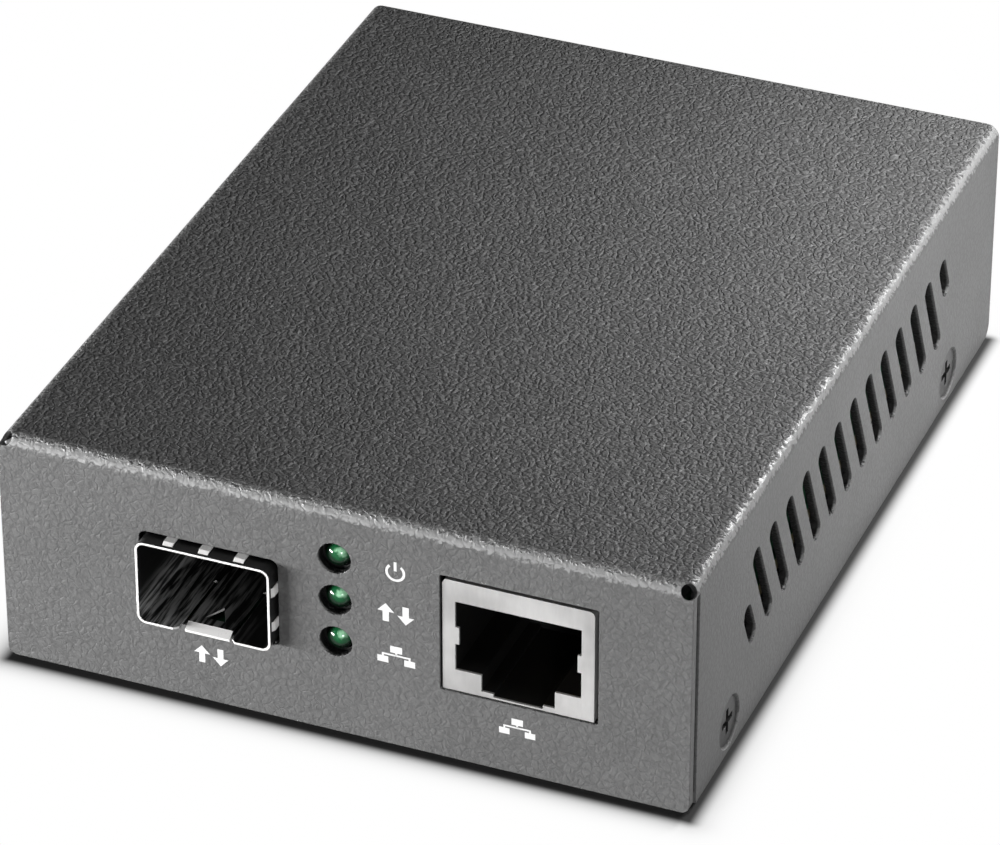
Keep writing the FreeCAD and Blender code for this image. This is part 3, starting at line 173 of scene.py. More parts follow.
class Finish:
    """A material: constants sit on its shader's sockets, patterns are wired to them."""

    def __init__(self, name, **constants):
        self.material = bpy.data.materials.new(name)
        self.material.use_nodes = True
        self.tree = self.material.node_tree
        self.shader = self.tree.nodes["Principled BSDF"]
        for socket, value in constants.items():
            self.shader.inputs[socket.replace("_", " ")].default_value = value
        spot = self.node("ShaderNodeTexCoord", output="Object")
        self.place = self.node("ShaderNodeVectorMath", {"operation": "SCALE"}, {0: spot, "Scale": 1 / MM})

    def node(self, kind, settings=None, sockets=(), output=0):
        """Adds a node: its settings first, then the values or wires of its sockets."""
        added = self.tree.nodes.new(kind)
        for setting, value in (settings or {}).items():
            setattr(added, setting, value)
        pairs = sockets.items() if isinstance(sockets, dict) else enumerate(sockets)
        for key, value in pairs:
            if isinstance(value, Wire):
                self.tree.links.new(value.socket, added.inputs[key])
            else:
                added.inputs[key].default_value = value
        return Wire(self, added.outputs[output])

    def wire(self, **patterns):
        """Connects patterns to the shader's sockets."""
        for name, pattern in patterns.items():
            self.tree.links.new(pattern.socket, self.shader.inputs[name.replace("_", " ")])
        return self.material

    def noise(self, size, detail=2.0, rough=0.5, place=None):
        """Noise from 0 to 1 with features of about size millimetres."""
        return self.node("ShaderNodeTexNoise", None, {
            "Vector": place or self.place, "Scale": 1 / size, "Detail": detail, "Roughness": rough})

    def cell_edges(self, size, place=None):
        """Distances from the borders of cells of about size millimetres."""
        return self.node("ShaderNodeTexVoronoi", {"feature": "DISTANCE_TO_EDGE"}, {
            "Vector": place or self.place, "Scale": 1 / size})

    def stretched(self, x, y, z):
        """The place squeezed or drawn out along each axis."""
        return self.node("ShaderNodeMapping", None, {"Vector": self.place, "Scale": (x, y, z)})

    def along(self, axis):
        """One coordinate in millimetres."""
        return self.node("ShaderNodeSeparateXYZ", None, [self.place], output=axis)

    def facing(self, axis):
        """One component of the surface's own direction."""
        normal = self.node("ShaderNodeTexCoord", output="Normal")
        return self.node("ShaderNodeSeparateXYZ", None, [normal], output=axis)

    def between(self, share, low, high):
        """A number that goes from low to high with a share of 0 to 1."""
        return share * (high - low) + low

    def smooth(self, amount, start, end):
        """0 before start, 1 after end, and smooth between."""
        return self.node("ShaderNodeMapRange", {"interpolation_type": "SMOOTHSTEP"}, {
            "Value": amount, "From Min": start, "From Max": end})

    def mixed(self, share, first, second):
        """A colour between two."""
        return self.node("ShaderNodeMix", {"data_type": "RGBA"}, {0: share, 6: first, 7: second}, output=2)

    def relief(self, height, depth, edge=0.0):
        """The normal of a height of 0 to 1 that stands for depth metres, on softened edges."""
        sockets = {"Height": height, "Distance": depth, "Strength": 1.0}
        if edge:
            sockets["Normal"] = self.node("ShaderNodeBevel", {"samples": 4}, {"Radius": edge})
        return self.node("ShaderNodeBump", None, sockets)


def grey(level, warmth=0.0):
    """A near-neutral colour."""
    return (level * (1 + warmth), level, level * (1 - warmth), 1.0)


def case_inside_shade(finish):
    """Painted shade mask: 1 within the case's sheet, 0 on what shows from outside."""
    half_width, half_depth, top = (cad_box[1].x / MM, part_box("cover")[1].y / MM, cad_box[1].z / MM)
    start, end = CASE_SHEET * 0.12, CASE_SHEET * 0.4
    within_sides = finish.smooth(half_width - abs(finish.along(0)), start, end)
    within_ends = finish.smooth(half_depth - abs(finish.along(1)), start, end)
    below_bend = finish.smooth(top - finish.along(2), BEND_REACH, BEND_REACH + end)
    above_floor = finish.smooth(finish.along(2), BEND_REACH, BEND_REACH + end)
    return within_sides * within_ends * below_bend * above_floor


def screw_dimple_shade(finish):
    """Painted shade mask: 1 in the dimples round the side screws, 0 elsewhere."""
    dimples = None
    for low, high in islands("cover_screws"):
        middle, radius = (low + high) / 2 / MM, (high.y - low.y) / 2 / MM
        across, up = finish.along(1) - middle.y, finish.along(2) - middle.z
        dimple = 1 - finish.smooth((across * across + up * up) ** 0.5, radius + 0.05, radius + 0.35)
        dimples = dimple.above(dimples) if dimples else dimple
    return dimples


def powder_coat(name, level):
    """Charcoal wrinkle coat: leathery pillows parted by creases, with a painted highlight over the bends,
    where the relief is also calmer.
    """
    coat = Finish(name, Specular_IOR_Level=0.4)
    grain = coat.noise(GRAIN_SIZE)
    drift = coat.node("ShaderNodeTexNoise", None,
                      {"Vector": coat.place, "Scale": 1.1, "Detail": 1.0}, output=1)
    swayed = coat.node("ShaderNodeVectorMath", {"operation": "ADD"}, [coat.place, drift])
    pillows = coat.smooth(coat.cell_edges(PILLOW_SIZE, place=swayed), 0.0, 0.22)
    wrinkle = pillows * 0.45 + coat.smooth(grain, 0.25, 0.75) * 0.55

    # Deepest on the top, shallow on the panel, shallowest on the side walls
    flat_side = coat.smooth(abs(coat.facing(0)), 0.6, 0.95)
    flat_top = coat.smooth(coat.facing(2), 0.3, 0.9)
    up = coat.facing(2) + (wrinkle - 0.5) * 0.4
    bend = coat.smooth(up, 0.22, 0.5) * (1 - coat.smooth(up, 0.8, 1.0))
    height = wrinkle * (0.2 + flat_top * 0.75 - flat_side * 0.12) * (1 - bend * 0.7)

    # Clouds tone the colour; the creases get painted shade and the pillows a painted highlight, stronger on
    # the top; the bends get a painted highlight; the inside of the case and the screw dimples get painted
    # shade
    crease_shade_strength = 0.4 + flat_top * 0.6
    clouds_and_crease_shade = coat.noise(12.0, detail=3.0) * 0.3 + (wrinkle - 0.5) * crease_shade_strength * 0.8 + 0.35
    colour = coat.mixed(clouds_and_crease_shade, grey(level * 0.5), grey(level * 1.5))
    # Painted highlight: the bends are lightened toward three times the coat's level and made a little
    # metallic
    lit = coat.mixed(bend * 0.8, colour, grey(level * 3.0))
    rough = coat.between(grain, 0.4, 0.56) * (1 - bend * 0.2)
    # Painted shade: the inside of the case and the dimples round the side screws are darkened
    shaded = case_inside_shade(coat).above(screw_dimple_shade(coat) * 0.8)
    return coat.wire(Base_Color=coat.mixed(shaded, lit, grey(level * 0.1)), Roughness=rough,
                     Metallic=bend * 0.15,
                     Normal=coat.relief(height, WRINKLE_DEPTH, edge=BEND_SOFTENING))


def plated_sheet(name, level, rough, metallic=1.0, draw=(1, 1, 1)):
    """Tin or nickel plate with faint rolling marks and stains."""
    plate = Finish(name, Metallic=metallic)
    marks = plate.noise(0.35, detail=4.0, rough=0.6, place=plate.stretched(*draw))
    stains = plate.smooth(plate.noise(6.0, detail=3.0), 0.3, 0.7)
    colour = plate.mixed(stains * 0.6 + marks * 0.4, grey(level * 0.72, 0.01), grey(level * 1.05, 0.01))
    dullness = plate.between(marks * 0.6 + stains * 0.4, rough * 0.7, rough * 1.35)
    return plate.wire(Base_Color=colour, Roughness=dullness,
                      Normal=plate.relief(marks, 0.006 * MM, edge=0.08 * MM))


def cage_plate():
    """Nickel plate painted near black as shade, with painted reflection streaks in the tube and a painted
    highlight on its rim, fingers and lip.
    """
    plate = Finish("cage_plate", Metallic=1.0)
    low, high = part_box("sfp_cage")
    middle, half = (low.x + high.x) / 2 / MM, (high.x - low.x) / 2 / MM
    over = plate.smooth(plate.along(2), high.z / MM - FINGER_RISE * 0.6, high.z / MM - FINGER_RISE * 0.5)
    aside = plate.smooth(abs(plate.along(0) - middle), half - FINGER_ASIDE * 0.6, half - FINGER_ASIDE * 0.5)
    rim = plate.smooth(0 - plate.facing(1), 0.2, 0.4)
    in_tongue = 1 - plate.smooth(abs(plate.along(0) - middle), TONGUE_HALF, TONGUE_HALF + 0.2)
    lip = in_tongue * (1 - plate.smooth(plate.along(1) - low.y / MM, LIP_DEPTH, LIP_DEPTH + 0.3))
    lip = lip * (1 - plate.smooth(plate.along(2) - low.z / MM, LIP_DEPTH, LIP_DEPTH + 0.3))
    marks = plate.noise(0.55, detail=3.0, rough=0.6, place=plate.stretched(1, 0.08, 1))
    lit_corner = plate.along(2) - low.z / MM + (plate.along(0) - low.x / MM) * 0.3
    inside = plate.smooth(half - FINGER_ASIDE * 1.3 - abs(plate.along(0) - middle), 0.0, 0.1)
    inside = inside * plate.smooth(high.z / MM - FINGER_RISE * 1.3 - plate.along(2), 0.0, 0.1)
    near_mouth = 1 - plate.smooth(plate.along(1) - low.y / MM, REFLECTION_START, REFLECTION_END)
    near_corner = 1 - plate.smooth(lit_corner, 4.5, 7.5)
    # Painted reflections: light streaks in the tube near the mouth and its lower corner; a painted highlight
    # on the rim, finger tips and latch lip; the rest of the plate is painted near black as shade
    painted_streaks = plate.smooth(marks, 0.42, 0.62) * near_corner * inside * near_mouth
    painted_highlight = over.above(aside).above(rim).above(lip)
    colour = plate.mixed(painted_highlight, plate.mixed(painted_streaks, grey(0.025), grey(0.9)), grey(0.95, 0.01))
    return plate.wire(Base_Color=colour, Roughness=plate.between(marks, 0.22, 0.4),
                      Metallic=plate.between(painted_highlight, 0.5, 0.1),
                      Normal=plate.relief(marks, 0.008 * MM, edge=0.1 * MM))


def moulding(name, colour, rough, grain_size=0.25):
    """Moulded or pressed stuff with a fine even grain."""
    mould = Finish(name)
    grain = mould.noise(grain_size, detail=3.0)
    clouds = mould.noise(4.0)
    dark = tuple(channel * 0.85 for channel in colour[:3]) + (1.0,)
    return mould.wire(Base_Color=mould.mixed(clouds, dark, colour),
                      Roughness=mould.between(grain, rough * 0.85, rough * 1.15),
                      Normal=mould.relief(grain, 0.012 * MM, edge=0.1 * MM))


def gold_flash():
    """Thin gold over spring strip, worn in clouds."""
    gold = Finish("gold_flash", Metallic=1.0)
    wear = gold.noise(0.6, detail=3.0)
    colour = gold.mixed(wear, (0.72, 0.5, 0.2, 1), (0.95, 0.74, 0.36, 1))
    return gold.wire(Base_Color=colour, Roughness=gold.between(wear, 0.16, 0.3))


def tinted_lens():
    """Dark green lamp resin, with a painted sheen where it faces the lamps and a painted highlight spot."""
    lens = Finish("tinted_lens", IOR=1.5, Coat_Weight=0.4, Coat_Roughness=0.05)
    haze = lens.noise(0.7, detail=2.0)
    deep = lens.mixed(haze, (0.001, 0.006, 0.002, 1), (0.002, 0.014, 0.006, 1))
    # Painted sheen and highlight: lighter green, then a pale spot, where the lens faces the lamps
    toward_lamps = lens.facing(0) * 0.35 - lens.facing(1) * 0.8 + lens.facing(2) * 0.5
    body = lens.mixed(lens.smooth(toward_lamps, 0.6, 0.95), deep, (0.01, 0.12, 0.04, 1))
    colour = lens.mixed(lens.smooth(toward_lamps + (haze - 0.5) * 0.3, 0.9, 1.02), body, (0.4, 0.8, 0.5, 1))
    return lens.wire(Base_Color=colour, Roughness=lens.between(haze, 0.12, 0.2),
                     Normal=lens.relief(haze, 0.03 * MM))


def solder_mask():
    """Green mask over tracks, with the laminate's weave at the cut edges."""
    mask = Finish("solder_mask", Coat_Weight=0.25, Coat_Roughness=0.2)
    lanes = mask.cell_edges(3.2, place=mask.stretched(1.0, 0.35, 1.0))
    tracks = 1 - mask.smooth(lanes, 0.05, 0.075)
    colour = mask.mixed(tracks, (0.004, 0.035, 0.014, 1), (0.01, 0.08, 0.034, 1))
    weave = mask.noise(0.3, detail=2.0, place=mask.stretched(1, 1, 3))
    laminate = mask.mixed(weave, (0.1, 0.09, 0.04, 1), (0.16, 0.14, 0.07, 1))
    cut_edge = 1 - mask.smooth(abs(mask.facing(2)), 0.4, 0.6)
    return mask.wire(Base_Color=mask.mixed(cut_edge, colour, laminate),
                     Roughness=mask.between(weave, 0.3, 0.42), Normal=mask.relief(tracks, 0.03 * MM))


def drawn_can():
    """Aluminium with upright drawing lines."""
    can = Finish("drawn_can", Metallic=1.0)
    draw = can.noise(0.2, detail=3.0, place=can.stretched(1, 1, 0.08))
    return can.wire(Base_Color=can.mixed(draw, grey(0.55), grey(0.72)),
                    Roughness=can.between(draw, 0.28, 0.42),
                    Normal=can.relief(draw, 0.008 * MM, edge=0.1 * MM))


def screw_plate(name, level, metallic):
    """Plated screw steel."""
    plate = Finish(name, Metallic=metallic)
    bloom = plate.noise(0.5, detail=3.0)
    return plate.wire(Base_Color=plate.mixed(bloom, grey(level * 0.8), grey(level * 1.2)),
                      Roughness=plate.between(bloom, 0.28, 0.45),
                      Normal=plate.relief(bloom, 0.01 * MM, edge=0.08 * MM))


def white_ink():
    """Matt white print, a little speckled."""
    ink = Finish("white_ink")
    speckle = ink.noise(0.12)
    return ink.wire(Base_Color=ink.mixed(speckle, grey(0.72), grey(0.85)),
                    Roughness=ink.between(speckle, 0.45, 0.6),
                    Normal=ink.relief(speckle, 0.01 * MM))


def bright_solder():
    """Tin solder with a light frost."""
    solder = Finish("bright_solder", Metallic=1.0)
    frost = solder.noise(0.3, detail=3.0)
    return solder.wire(Base_Color=solder.mixed(frost, grey(0.6), grey(0.8)),
                       Roughness=solder.between(frost, 0.2, 0.38), Normal=solder.relief(frost, 0.01 * MM))


def paint_parts():
    """Gives every CAD node its finish."""
    black = moulding("black_insulator", grey(0.006), 0.5)
    chip = moulding("chip_moulding", grey(0.024), 0.55, grain_size=0.15)
    tin = plated_sheet("tinned_strip", 0.74, 0.3)
    gold = gold_flash()
    lens = tinted_lens()
    can = drawn_can()
    finishes = {
        "cover": powder_coat("cover_coat", COVER_LEVEL),
        "base_tray": powder_coat("tray_coat", TRAY_LEVEL),
        "main_board": solder_mask(),
        "sfp_cage": cage_plate(),
        "rj45_shield": plated_sheet("shield_plate", 0.8, 0.36, metallic=0.6, draw=(1, 1, 0.2)),
        "crystal": plated_sheet("crystal_can", 0.7, 0.25),
        "power_inductor": moulding("pressed_ferrite", grey(0.06), 0.7),
        "chip_capacitors": moulding("fired_ceramic", (0.36, 0.25, 0.15, 1), 0.55),
        "cover_screws": screw_plate("black_screw", 0.016, 0.0),
        "board_screws": screw_plate("zinc_screw", 0.55, 1.0),
        "led_holder": black, "rj45_housing": black, "sfp_connector": black, "dc_jack_housing": black,
        "line_transformer": chip, "converter_chip": chip, "memory_chip": chip, "regulator_chip": chip,
        "chip_resistors": chip,
        "led_leads": tin, "dc_jack_pin": tin, "dc_jack_contacts": tin, "transformer_leads": tin,
        "memory_leads": tin, "regulator_leads": tin,
        "sfp_contacts": gold, "rj45_contacts": gold,
        "power_led": lens, "fibre_led": lens, "copper_led": lens,
        "input_capacitor": can, "output_capacitor": can,
    }
    for name, material in finishes.items():
        mesh = nodes[name].data
        mesh.materials.clear()
        mesh.materials.append(material)


# Print

def keep_piece(name, mesh, slot):
    """Makes a mesh a piece of the object, hung from the root body; the slot is not used."""
    piece = bpy.data.objects.new(name, mesh)
    bpy.context.scene.collection.objects.link(piece)
    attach(piece, "root")


def print_mark(name, outlines, size, origin, material):
    """Thin shapes on the socket panel, drawn from its front: x to the right, z up."""
    points, faces = [], []
    for outline in outlines:
        first, count = len(points), len(outline)
        for depth in (-PRINT_SHEET, PRINT_SHEET):
            points += [(origin.x + size * x, origin.y + depth, origin.z + size * z) for x, z in outline]
        faces.append([first + i for i in range(count)])
        faces.append([first + count + i for i in reversed(range(count))])
        for i in range(count):
            j = (i + 1) % count
            faces.append([first + j, first + i, first + count + i, first + count + j])
    mesh = bpy.data.meshes.new(name)
    mesh.from_pydata(points, [], faces)
    mesh.materials.append(material)
    keep_piece(name, mesh, "case_paint")


def bar(x_low, z_low, x_high, z_high):
    """The outline of a rectangle."""
    return [(x_low, z_low), (x_high, z_low), (x_high, z_high), (x_low, z_high)]


def power_mark():
    """An open ring with a bar through its gap."""
    turns = [RING_START + RING_SWEEP * i / RING_STEPS for i in range(RING_STEPS + 1)]
    outer = [(math.cos(turn), math.sin(turn)) for turn in turns]
    inner = [(RING_BORE * x, RING_BORE * z) for x, z in reversed(outer)]
    return [outer + inner, bar(-0.14, 0.15, 0.14, 1.15)]


def fibre_mark():
    """An arrow up and an arrow down, side by side."""
    arrow = [(-0.32, -1), (0.32, -1), (0.32, 0.1), (0.85, 0.1), (0, 1), (-0.85, 0.1), (-0.32, 0.1)]
    return [[(x - 1, z) for x, z in arrow], [(1 - x, -z) for x, z in arrow]]


def network_mark():
    """Three boxes joined by lines."""
    return [bar(-0.6, 0.25, 0.6, 1), bar(-1.9, -1, -0.8, -0.3), bar(0.8, -1, 1.9, -0.3),
            bar(-0.1, -0.02, 0.1, 0.25), bar(-1.45, -0.12, 1.45, 0.06), bar(-1.45, -0.3, -1.25, -0.12),
            bar(1.25, -0.3, 1.45, -0.12)]


def print_panel():
    """Plain signs beside the lamps and below the two sockets."""
    ink = white_ink()
    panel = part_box("cover")[0].y
    signs = {"power_led": power_mark(), "fibre_led": fibre_mark(), "copper_led": network_mark()}
    for lamp, sign in signs.items():
        low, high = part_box(lamp)
        spot = Vector(((low.x + high.x) / 2 + LAMP_MARK_GAP, panel, (low.z + high.z) / 2))
        print_mark(f"{lamp}_sign", sign, LAMP_MARK_SIZE, spot, ink)
    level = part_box("main_board")[1].z - PORT_MARK_DROP
    for socket, sign in (("sfp_cage", fibre_mark()), ("rj45_shield", network_mark())):
        low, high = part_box(socket)
        print_mark(f"{socket}_sign", sign, PORT_MARK_SIZE, Vector(((low.x + high.x) / 2, panel, level)), ink)


# Solder, plating and vias, each a small shape repeated by a node tree

class Copies:
    """A Geometry Nodes tree with named number inputs."""

    def __init__(self, name, **sizes):
        self.name = name
        self.sizes = sizes
        self.tree = bpy.data.node_groups.new(name, "GeometryNodeTree")
        self.tree.interface.new_socket("Geometry", in_out="INPUT", socket_type="NodeSocketGeometry")
        for size in sizes:
            self.tree.interface.new_socket(size, in_out="INPUT", socket_type="NodeSocketFloat")
        self.tree.interface.new_socket("Geometry", in_out="OUTPUT", socket_type="NodeSocketGeometry")
        self.given = self.tree.nodes.new("NodeGroupInput")

    def size(self, name):
        return self.given.outputs[name]

    def node(self, kind, settings=None, sockets=None, output=0):
        """Adds a node: its settings first, then the values or links of its sockets."""
        added = self.tree.nodes.new(kind)
        for setting, value in (settings or {}).items():
            setattr(added, setting, value)
        for key, value in (sockets or {}).items():
            if isinstance(value, bpy.types.NodeSocket):
                self.tree.links.new(value, added.inputs[key])
            else:
                added.inputs[key].default_value = value
        return added.outputs[output]

    def math(self, operation, first, second):
        return self.node("ShaderNodeMath", {"operation": operation}, {0: first, 1: second})

    def finish(self, spots, shape, material, slot):
        """Sets the shape at each point and gives it the material; keep makes what comes out a piece."""
        placed = self.node("GeometryNodeInstanceOnPoints", None, {"Points": spots, "Instance": shape})
        solid = self.node("GeometryNodeRealizeInstances", None, {"Geometry": placed})
        coated = self.node("GeometryNodeSetMaterial", None, {"Geometry": solid, "Material": material})
        end = self.tree.nodes.new("NodeGroupOutput")
        self.tree.links.new(coated, end.inputs[0])
        self.slot = slot

    def keep(self, points):
        """Runs the tree on a mesh of points."""
        seed_mesh = bpy.data.meshes.new(f"{self.name}_points")
        seed_mesh.from_pydata(points, [], [])
        carrier = bpy.data.objects.new(f"{self.name}_carrier", seed_mesh)
        bpy.context.scene.collection.objects.link(carrier)
        modifier = carrier.modifiers.new("copies", "NODES")
        modifier.node_group = self.tree
        for item in self.tree.interface.items_tree:
            if item.in_out == "INPUT" and item.name in self.sizes:
                modifier[item.identifier] = self.sizes[item.name]
        graph = bpy.context.evaluated_depsgraph_get()
        mesh = bpy.data.meshes.new_from_object(carrier.evaluated_get(graph))
        mesh.name = self.name
        carrier.modifiers.remove(modifier)
        bpy.data.objects.remove(carrier)
        keep_piece(self.name, mesh, self.slot)


def islands(name):
    """The boxes of a node's separate solids, found by joining vertices that share a place."""
    mesh = nodes[name].data
    spots = [tuple(round(c / WELD_REACH) for c in vertex.co) for vertex in mesh.vertices]
    owner = {spot: spot for spot in spots}

    def root(spot):
        while owner[spot] != spot:
            owner[spot] = owner[owner[spot]]
            spot = owner[spot]
        return spot

    for polygon in mesh.polygons:
        first = root(spots[polygon.vertices[0]])
        for index in polygon.vertices[1:]:
            owner[root(spots[index])] = first
    groups = {}
    for vertex, spot in zip(mesh.vertices, spots):
        groups.setdefault(root(spot), []).append(vertex.co)
    for group in groups.values():
        low = Vector(min(co[axis] for co in group) for axis in range(3))
        high = Vector(max(co[axis] for co in group) for axis in range(3))
        yield low, high


def tail_spots(name):
    """Where a node's tails leave the board's underside, and each tail's half width."""
    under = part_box("main_board")[0].z
    tips = {}
    for vertex in nodes[name].data.vertices:
        if vertex.co.z < under - TAIL_REACH:
            near = next((key for key in tips if (Vector(key) - vertex.co.xy).length < TAIL_SPREAD), None)
            tips.setdefault(near or tuple(vertex.co.xy), []).append(vertex.co.xy)
    for group in tips.values():
        low = [min(co[axis] for co in group) for axis in range(2)]
        high = [max(co[axis] for co in group) for axis in range(2)]
        reach = max(high[0] - low[0], high[1] - low[1]) / 2
        yield ((low[0] + high[0]) / 2, (low[1] + high[1]) / 2, under), reach


def solder_tails():
    """A hollow-sided fillet round each tail below the board."""
    solder = bright_solder()
    for name in ("sfp_cage", "rj45_shield", "rj45_contacts", "led_leads", "dc_jack_contacts"):
        tails = list(tail_spots(name))
        reach = max(half for _, half in tails)
        copies = Copies(f"{name}_solder", Foot=FILLET_SHARE * reach, Tip=TIP_SHARE * reach,
                        Height=FILLET_HEIGHT)
        cone = copies.node("GeometryNodeMeshCone", {"fill_type": "NGON"}, {
            "Vertices": FILLET_SIDES, "Side Segments": FILLET_STEPS,
            "Radius Top": copies.size("Tip"), "Radius Bottom": copies.size("Foot"),
            "Depth": copies.size("Height")})
        spot = copies.node("GeometryNodeInputPosition")
        rise = copies.math("DIVIDE", copies.node("ShaderNodeSeparateXYZ", None, {0: spot}, output=2),
                           copies.size("Height"))
        left = copies.math("SUBTRACT", 1.0, rise)
        hollow_share = copies.math("MULTIPLY", copies.math("MULTIPLY", rise, left), FILLET_WAIST)
        waist = copies.math("SUBTRACT", 1.0, hollow_share)
        squeeze = copies.node("ShaderNodeCombineXYZ", None, {0: waist, 1: waist, 2: 1.0})
        drawn = copies.node("ShaderNodeVectorMath", {"operation": "MULTIPLY"}, {0: spot, 1: squeeze})
        hollow = copies.node("GeometryNodeSetPosition", None, {"Geometry": cone, "Position": drawn})
        smooth = copies.node("GeometryNodeSetShadeSmooth", None, {"Geometry": hollow})
        hung = copies.node("GeometryNodeTransform", None, {"Geometry": smooth, "Rotation": (math.pi, 0, 0)})
        copies.finish(copies.given.outputs[0], hung, solder, "tinned_metal")
        copies.keep([place for place, _ in tails])


def plate_chip_ends():
    """Tinned caps over both ends of the small chips."""
    solder = bright_solder()
    for name in ("chip_resistors", "chip_capacitors"):
        ends = []
        for low, high in islands(name):
            size = high - low
            axis = 0 if size.x > size.y else 1
            cap = size.copy()
            cap[axis] *= CAP_SHARE
            for side in (low, high):
                spot = (low + high) / 2
                spot[axis] = side[axis] + cap[axis] / 2 * (1 if side is low else -1)
                ends.append(spot)
        # A row's chips are all alike, so the last one's cap stands for every one
        copies = Copies(f"{name}_ends", Across=cap.x + 2 * PLATING, Along=cap.y + 2 * PLATING,
                        Rise=cap.z + PLATING)
        size = copies.node("ShaderNodeCombineXYZ", None, {
            0: copies.size("Across"), 1: copies.size("Along"), 2: copies.size("Rise")})
        block = copies.node("GeometryNodeMeshCube", None, {"Size": size})
        copies.finish(copies.given.outputs[0], block, solder, "tinned_metal")
        copies.keep(ends)


def drill_vias():
    """Plated vias scattered over the middle of the board."""
    low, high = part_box("main_board")
    copies = Copies("board_vias", Radius=VIA_RADIUS, Depth=high.z - low.z + 2 * PLATING, Share=VIA_SHARE)
    hidden = copies.node("FunctionNodeRandomValue", {"data_type": "BOOLEAN"}, {
        "Probability": copies.math("SUBTRACT", 1.0, copies.size("Share")), "Seed": VIA_SEED}, output=3)
    thinned = copies.node("GeometryNodeDeleteGeometry", None, {
        "Geometry": copies.given.outputs[0], "Selection": hidden})
    barrel = copies.node("GeometryNodeMeshCylinder", None, {
        "Vertices": VIA_SIDES, "Radius": copies.size("Radius"), "Depth": copies.size("Depth")})
    copies.finish(thinned, barrel, gold_flash(), "contact_metal")
    left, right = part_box("led_holder")[0].x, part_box("line_transformer")[0].x
    front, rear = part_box("led_leads")[1].y + 2 * VIA_PITCH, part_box("converter_chip")[0].y - VIA_PITCH
    across, along = int((right - left) / VIA_PITCH), int((rear - front) / VIA_PITCH)
    copies.keep([(left + i * VIA_PITCH, front + j * VIA_PITCH, (low.z + high.z) / 2)
                 for i in range(across) for j in range(along)])


# Camera, light and floor

def add_camera():
    """The photograph's viewing angle, as far as a camera without shift gives it."""
    data = bpy.data.cameras.new("camera")
    data.lens = CAMERA_LENS
    data.sensor_width = CAMERA_SENSOR
    data.clip_start = CAMERA_CLIP
    camera = bpy.data.objects.new("camera", data)
    bpy.context.scene.collection.objects.link(camera)
    level = math.cos(CAMERA_PITCH)
    ahead = Vector((-math.sin(CAMERA_AZIMUTH) * level, math.cos(CAMERA_AZIMUTH) * level,
                    -math.sin(CAMERA_PITCH)))
    camera.location = CAMERA_PLACE
    camera.rotation_euler = ahead.to_track_quat("-Z", "Y").to_euler()
    bpy.context.scene.camera = camera


def aim_lamp(name, place, target, watts, **settings):
    """An area lamp that faces its target."""
    data = bpy.data.lights.new(name, "AREA")
    data.energy = watts
    for setting, value in settings.items():
        setattr(data, setting, value)
    lamp = bpy.data.objects.new(name, data)
    bpy.context.scene.collection.objects.link(lamp)
    lamp.location = place
    lamp.rotation_euler = (target - lamp.location).to_track_quat("-Z", "Y").to_euler()


def light_studio():
    """Soft light on the panel, pools at the right, a low fill into the sockets, and edge lights."""
    middle, corner = (cad_box[0] + cad_box[1]) / 2, cad_box[1]
    toward_front_edge = EDGE_LIGHT_DISTANCE * Vector((-0.31, -0.54, 0.78))
    toward_right_edge = EDGE_LIGHT_DISTANCE * Vector((0.54, 0.78, 0.31))
    aim_lamp("panel_softbox", middle + Vector((-0.36, -0.27, -0.02)), middle, 8.4,
             shape="RECTANGLE", size=0.3, size_y=0.08)
    aim_lamp("rear_pool", corner + Vector((0.045, 0.005, 0.062)), middle, 0.12,
             shape="SQUARE", size=0.03)
    aim_lamp("front_pool", corner + Vector((0.065, -0.11, 0.095)), middle, 0.035,
             shape="SQUARE", size=0.03)
    aim_lamp("low_fill", middle + Vector((0.3, -0.66, 0.1)), middle, 1.2,
             shape="SQUARE", size=0.1)
    aim_lamp("front_edge_light", middle + toward_front_edge, middle, 0.11,
             shape="SQUARE", size=0.08)
    aim_lamp("right_edge_light", middle + toward_right_edge, middle, 0.25,
             shape="SQUARE", size=0.08)


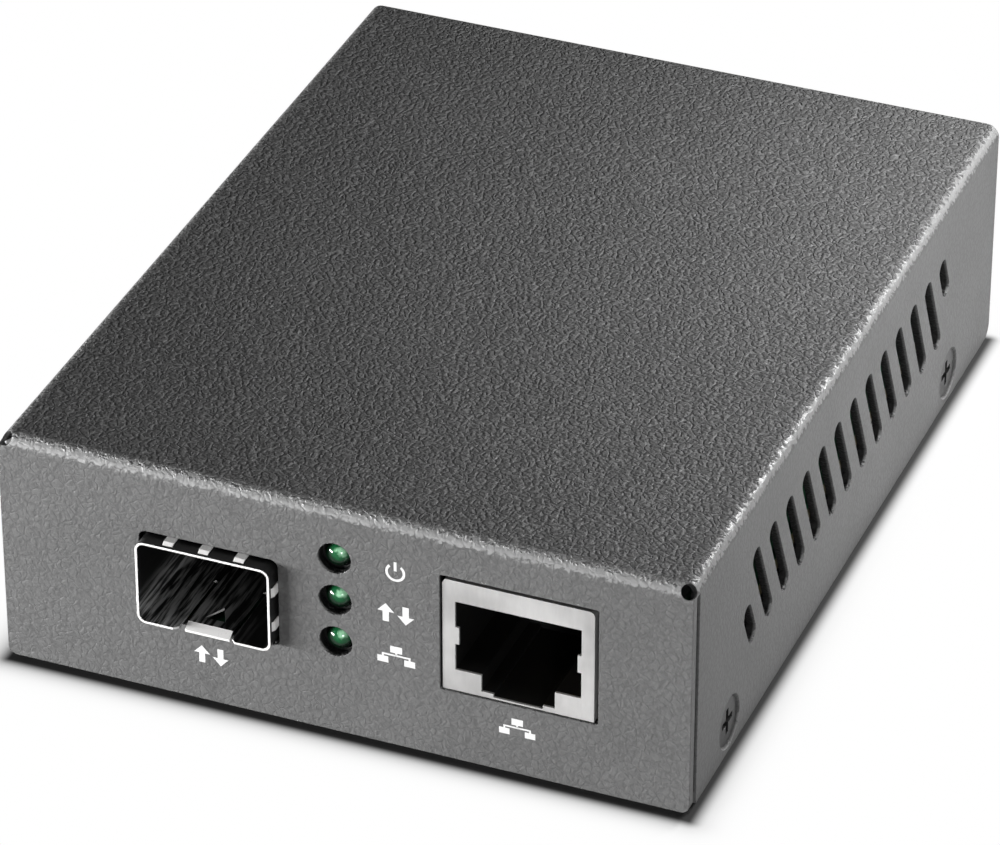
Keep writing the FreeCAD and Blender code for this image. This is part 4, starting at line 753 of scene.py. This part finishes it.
def light_room():
    """White where it is seen, dimmer where it lights the case or mirrors in it."""
    world = bpy.data.worlds.new("room")
    bpy.context.scene.world = world
    world.use_nodes = True
    tree = world.node_tree
    background = tree.nodes["Background"]
    background.inputs["Color"].default_value = (1, 1, 1, 1)
    path = tree.nodes.new("ShaderNodeLightPath")
    steps = ((path.outputs["Is Glossy Ray"], ROOM_GLOSS), (path.outputs["Is Camera Ray"], 1.0))
    strength = None
    for ray, level in steps:
        choice = tree.nodes.new("ShaderNodeMix")
        choice.inputs[2].default_value = ROOM_FILL
        choice.inputs[3].default_value = level
        tree.links.new(ray, choice.inputs[0])
        if strength:
            tree.links.new(strength, choice.inputs[2])
        strength = choice.outputs[0]
    tree.links.new(strength, background.inputs["Strength"])


def lay_floor():
    """A white floor with a painted shadow near the case over the rendered one, and plain white away from it.
    """
    mesh = bpy.data.meshes.new("floor")
    corners = [(x * FLOOR_REACH, y * FLOOR_REACH, 0) for x, y in ((-1, -1), (1, -1), (1, 1), (-1, 1))]
    mesh.from_pydata(corners, [], [(0, 1, 2, 3)])
    floor = bpy.data.objects.new("floor", mesh)
    bpy.context.scene.collection.objects.link(floor)
    paper = Finish("paper", Roughness=0.9, Specular_IOR_Level=0.1)
    half_width, half_depth = cad_box[1].x / MM, cad_box[1].y / MM
    aside = (abs(paper.along(0)) - half_width).above(0.0) * SIDE_SHADOW
    ahead = (abs(paper.along(1)) - half_depth).above(0.0)
    away = (aside * aside + ahead * ahead) ** 0.5
    # Painted shadow: the floor's colour darkens next to the case, wider at the sides
    painted_shadow = 1 - paper.smooth(away, 0.0, SHADOW_FADE)
    paper.wire(Base_Color=paper.mixed(painted_shadow, grey(PAPER_LEVEL), grey(PAINTED_SHADOW_LEVEL)))
    fading = (away * (1 / SHADOW_FADE)) ** SHADOW_CURVE * -1
    shadow = paper.node("ShaderNodeMath", {"operation": "EXPONENT"}, [fading])
    clear = (1 - shadow).above(paper.smooth(away, SHADOW_FADE, SHADOW_REACH))
    seen = paper.node("ShaderNodeLightPath", output="Is Camera Ray")
    white = paper.node("ShaderNodeEmission", None, {"Color": (1, 1, 1, 1)})
    mirrored = paper.node("ShaderNodeMixShader", None, {
        0: clear * seen, 1: Wire(paper, paper.shader.outputs[0]), 2: white})
    paper.tree.links.new(mirrored.socket, paper.tree.nodes["Material Output"].inputs["Surface"])
    mesh.materials.append(paper.material)


paint_parts()
print_panel()
solder_tails()
plate_chip_ends()
drill_vias()
add_camera()
light_studio()
light_room()
lay_floor()
bpy.context.scene.view_settings.view_transform = "Standard"
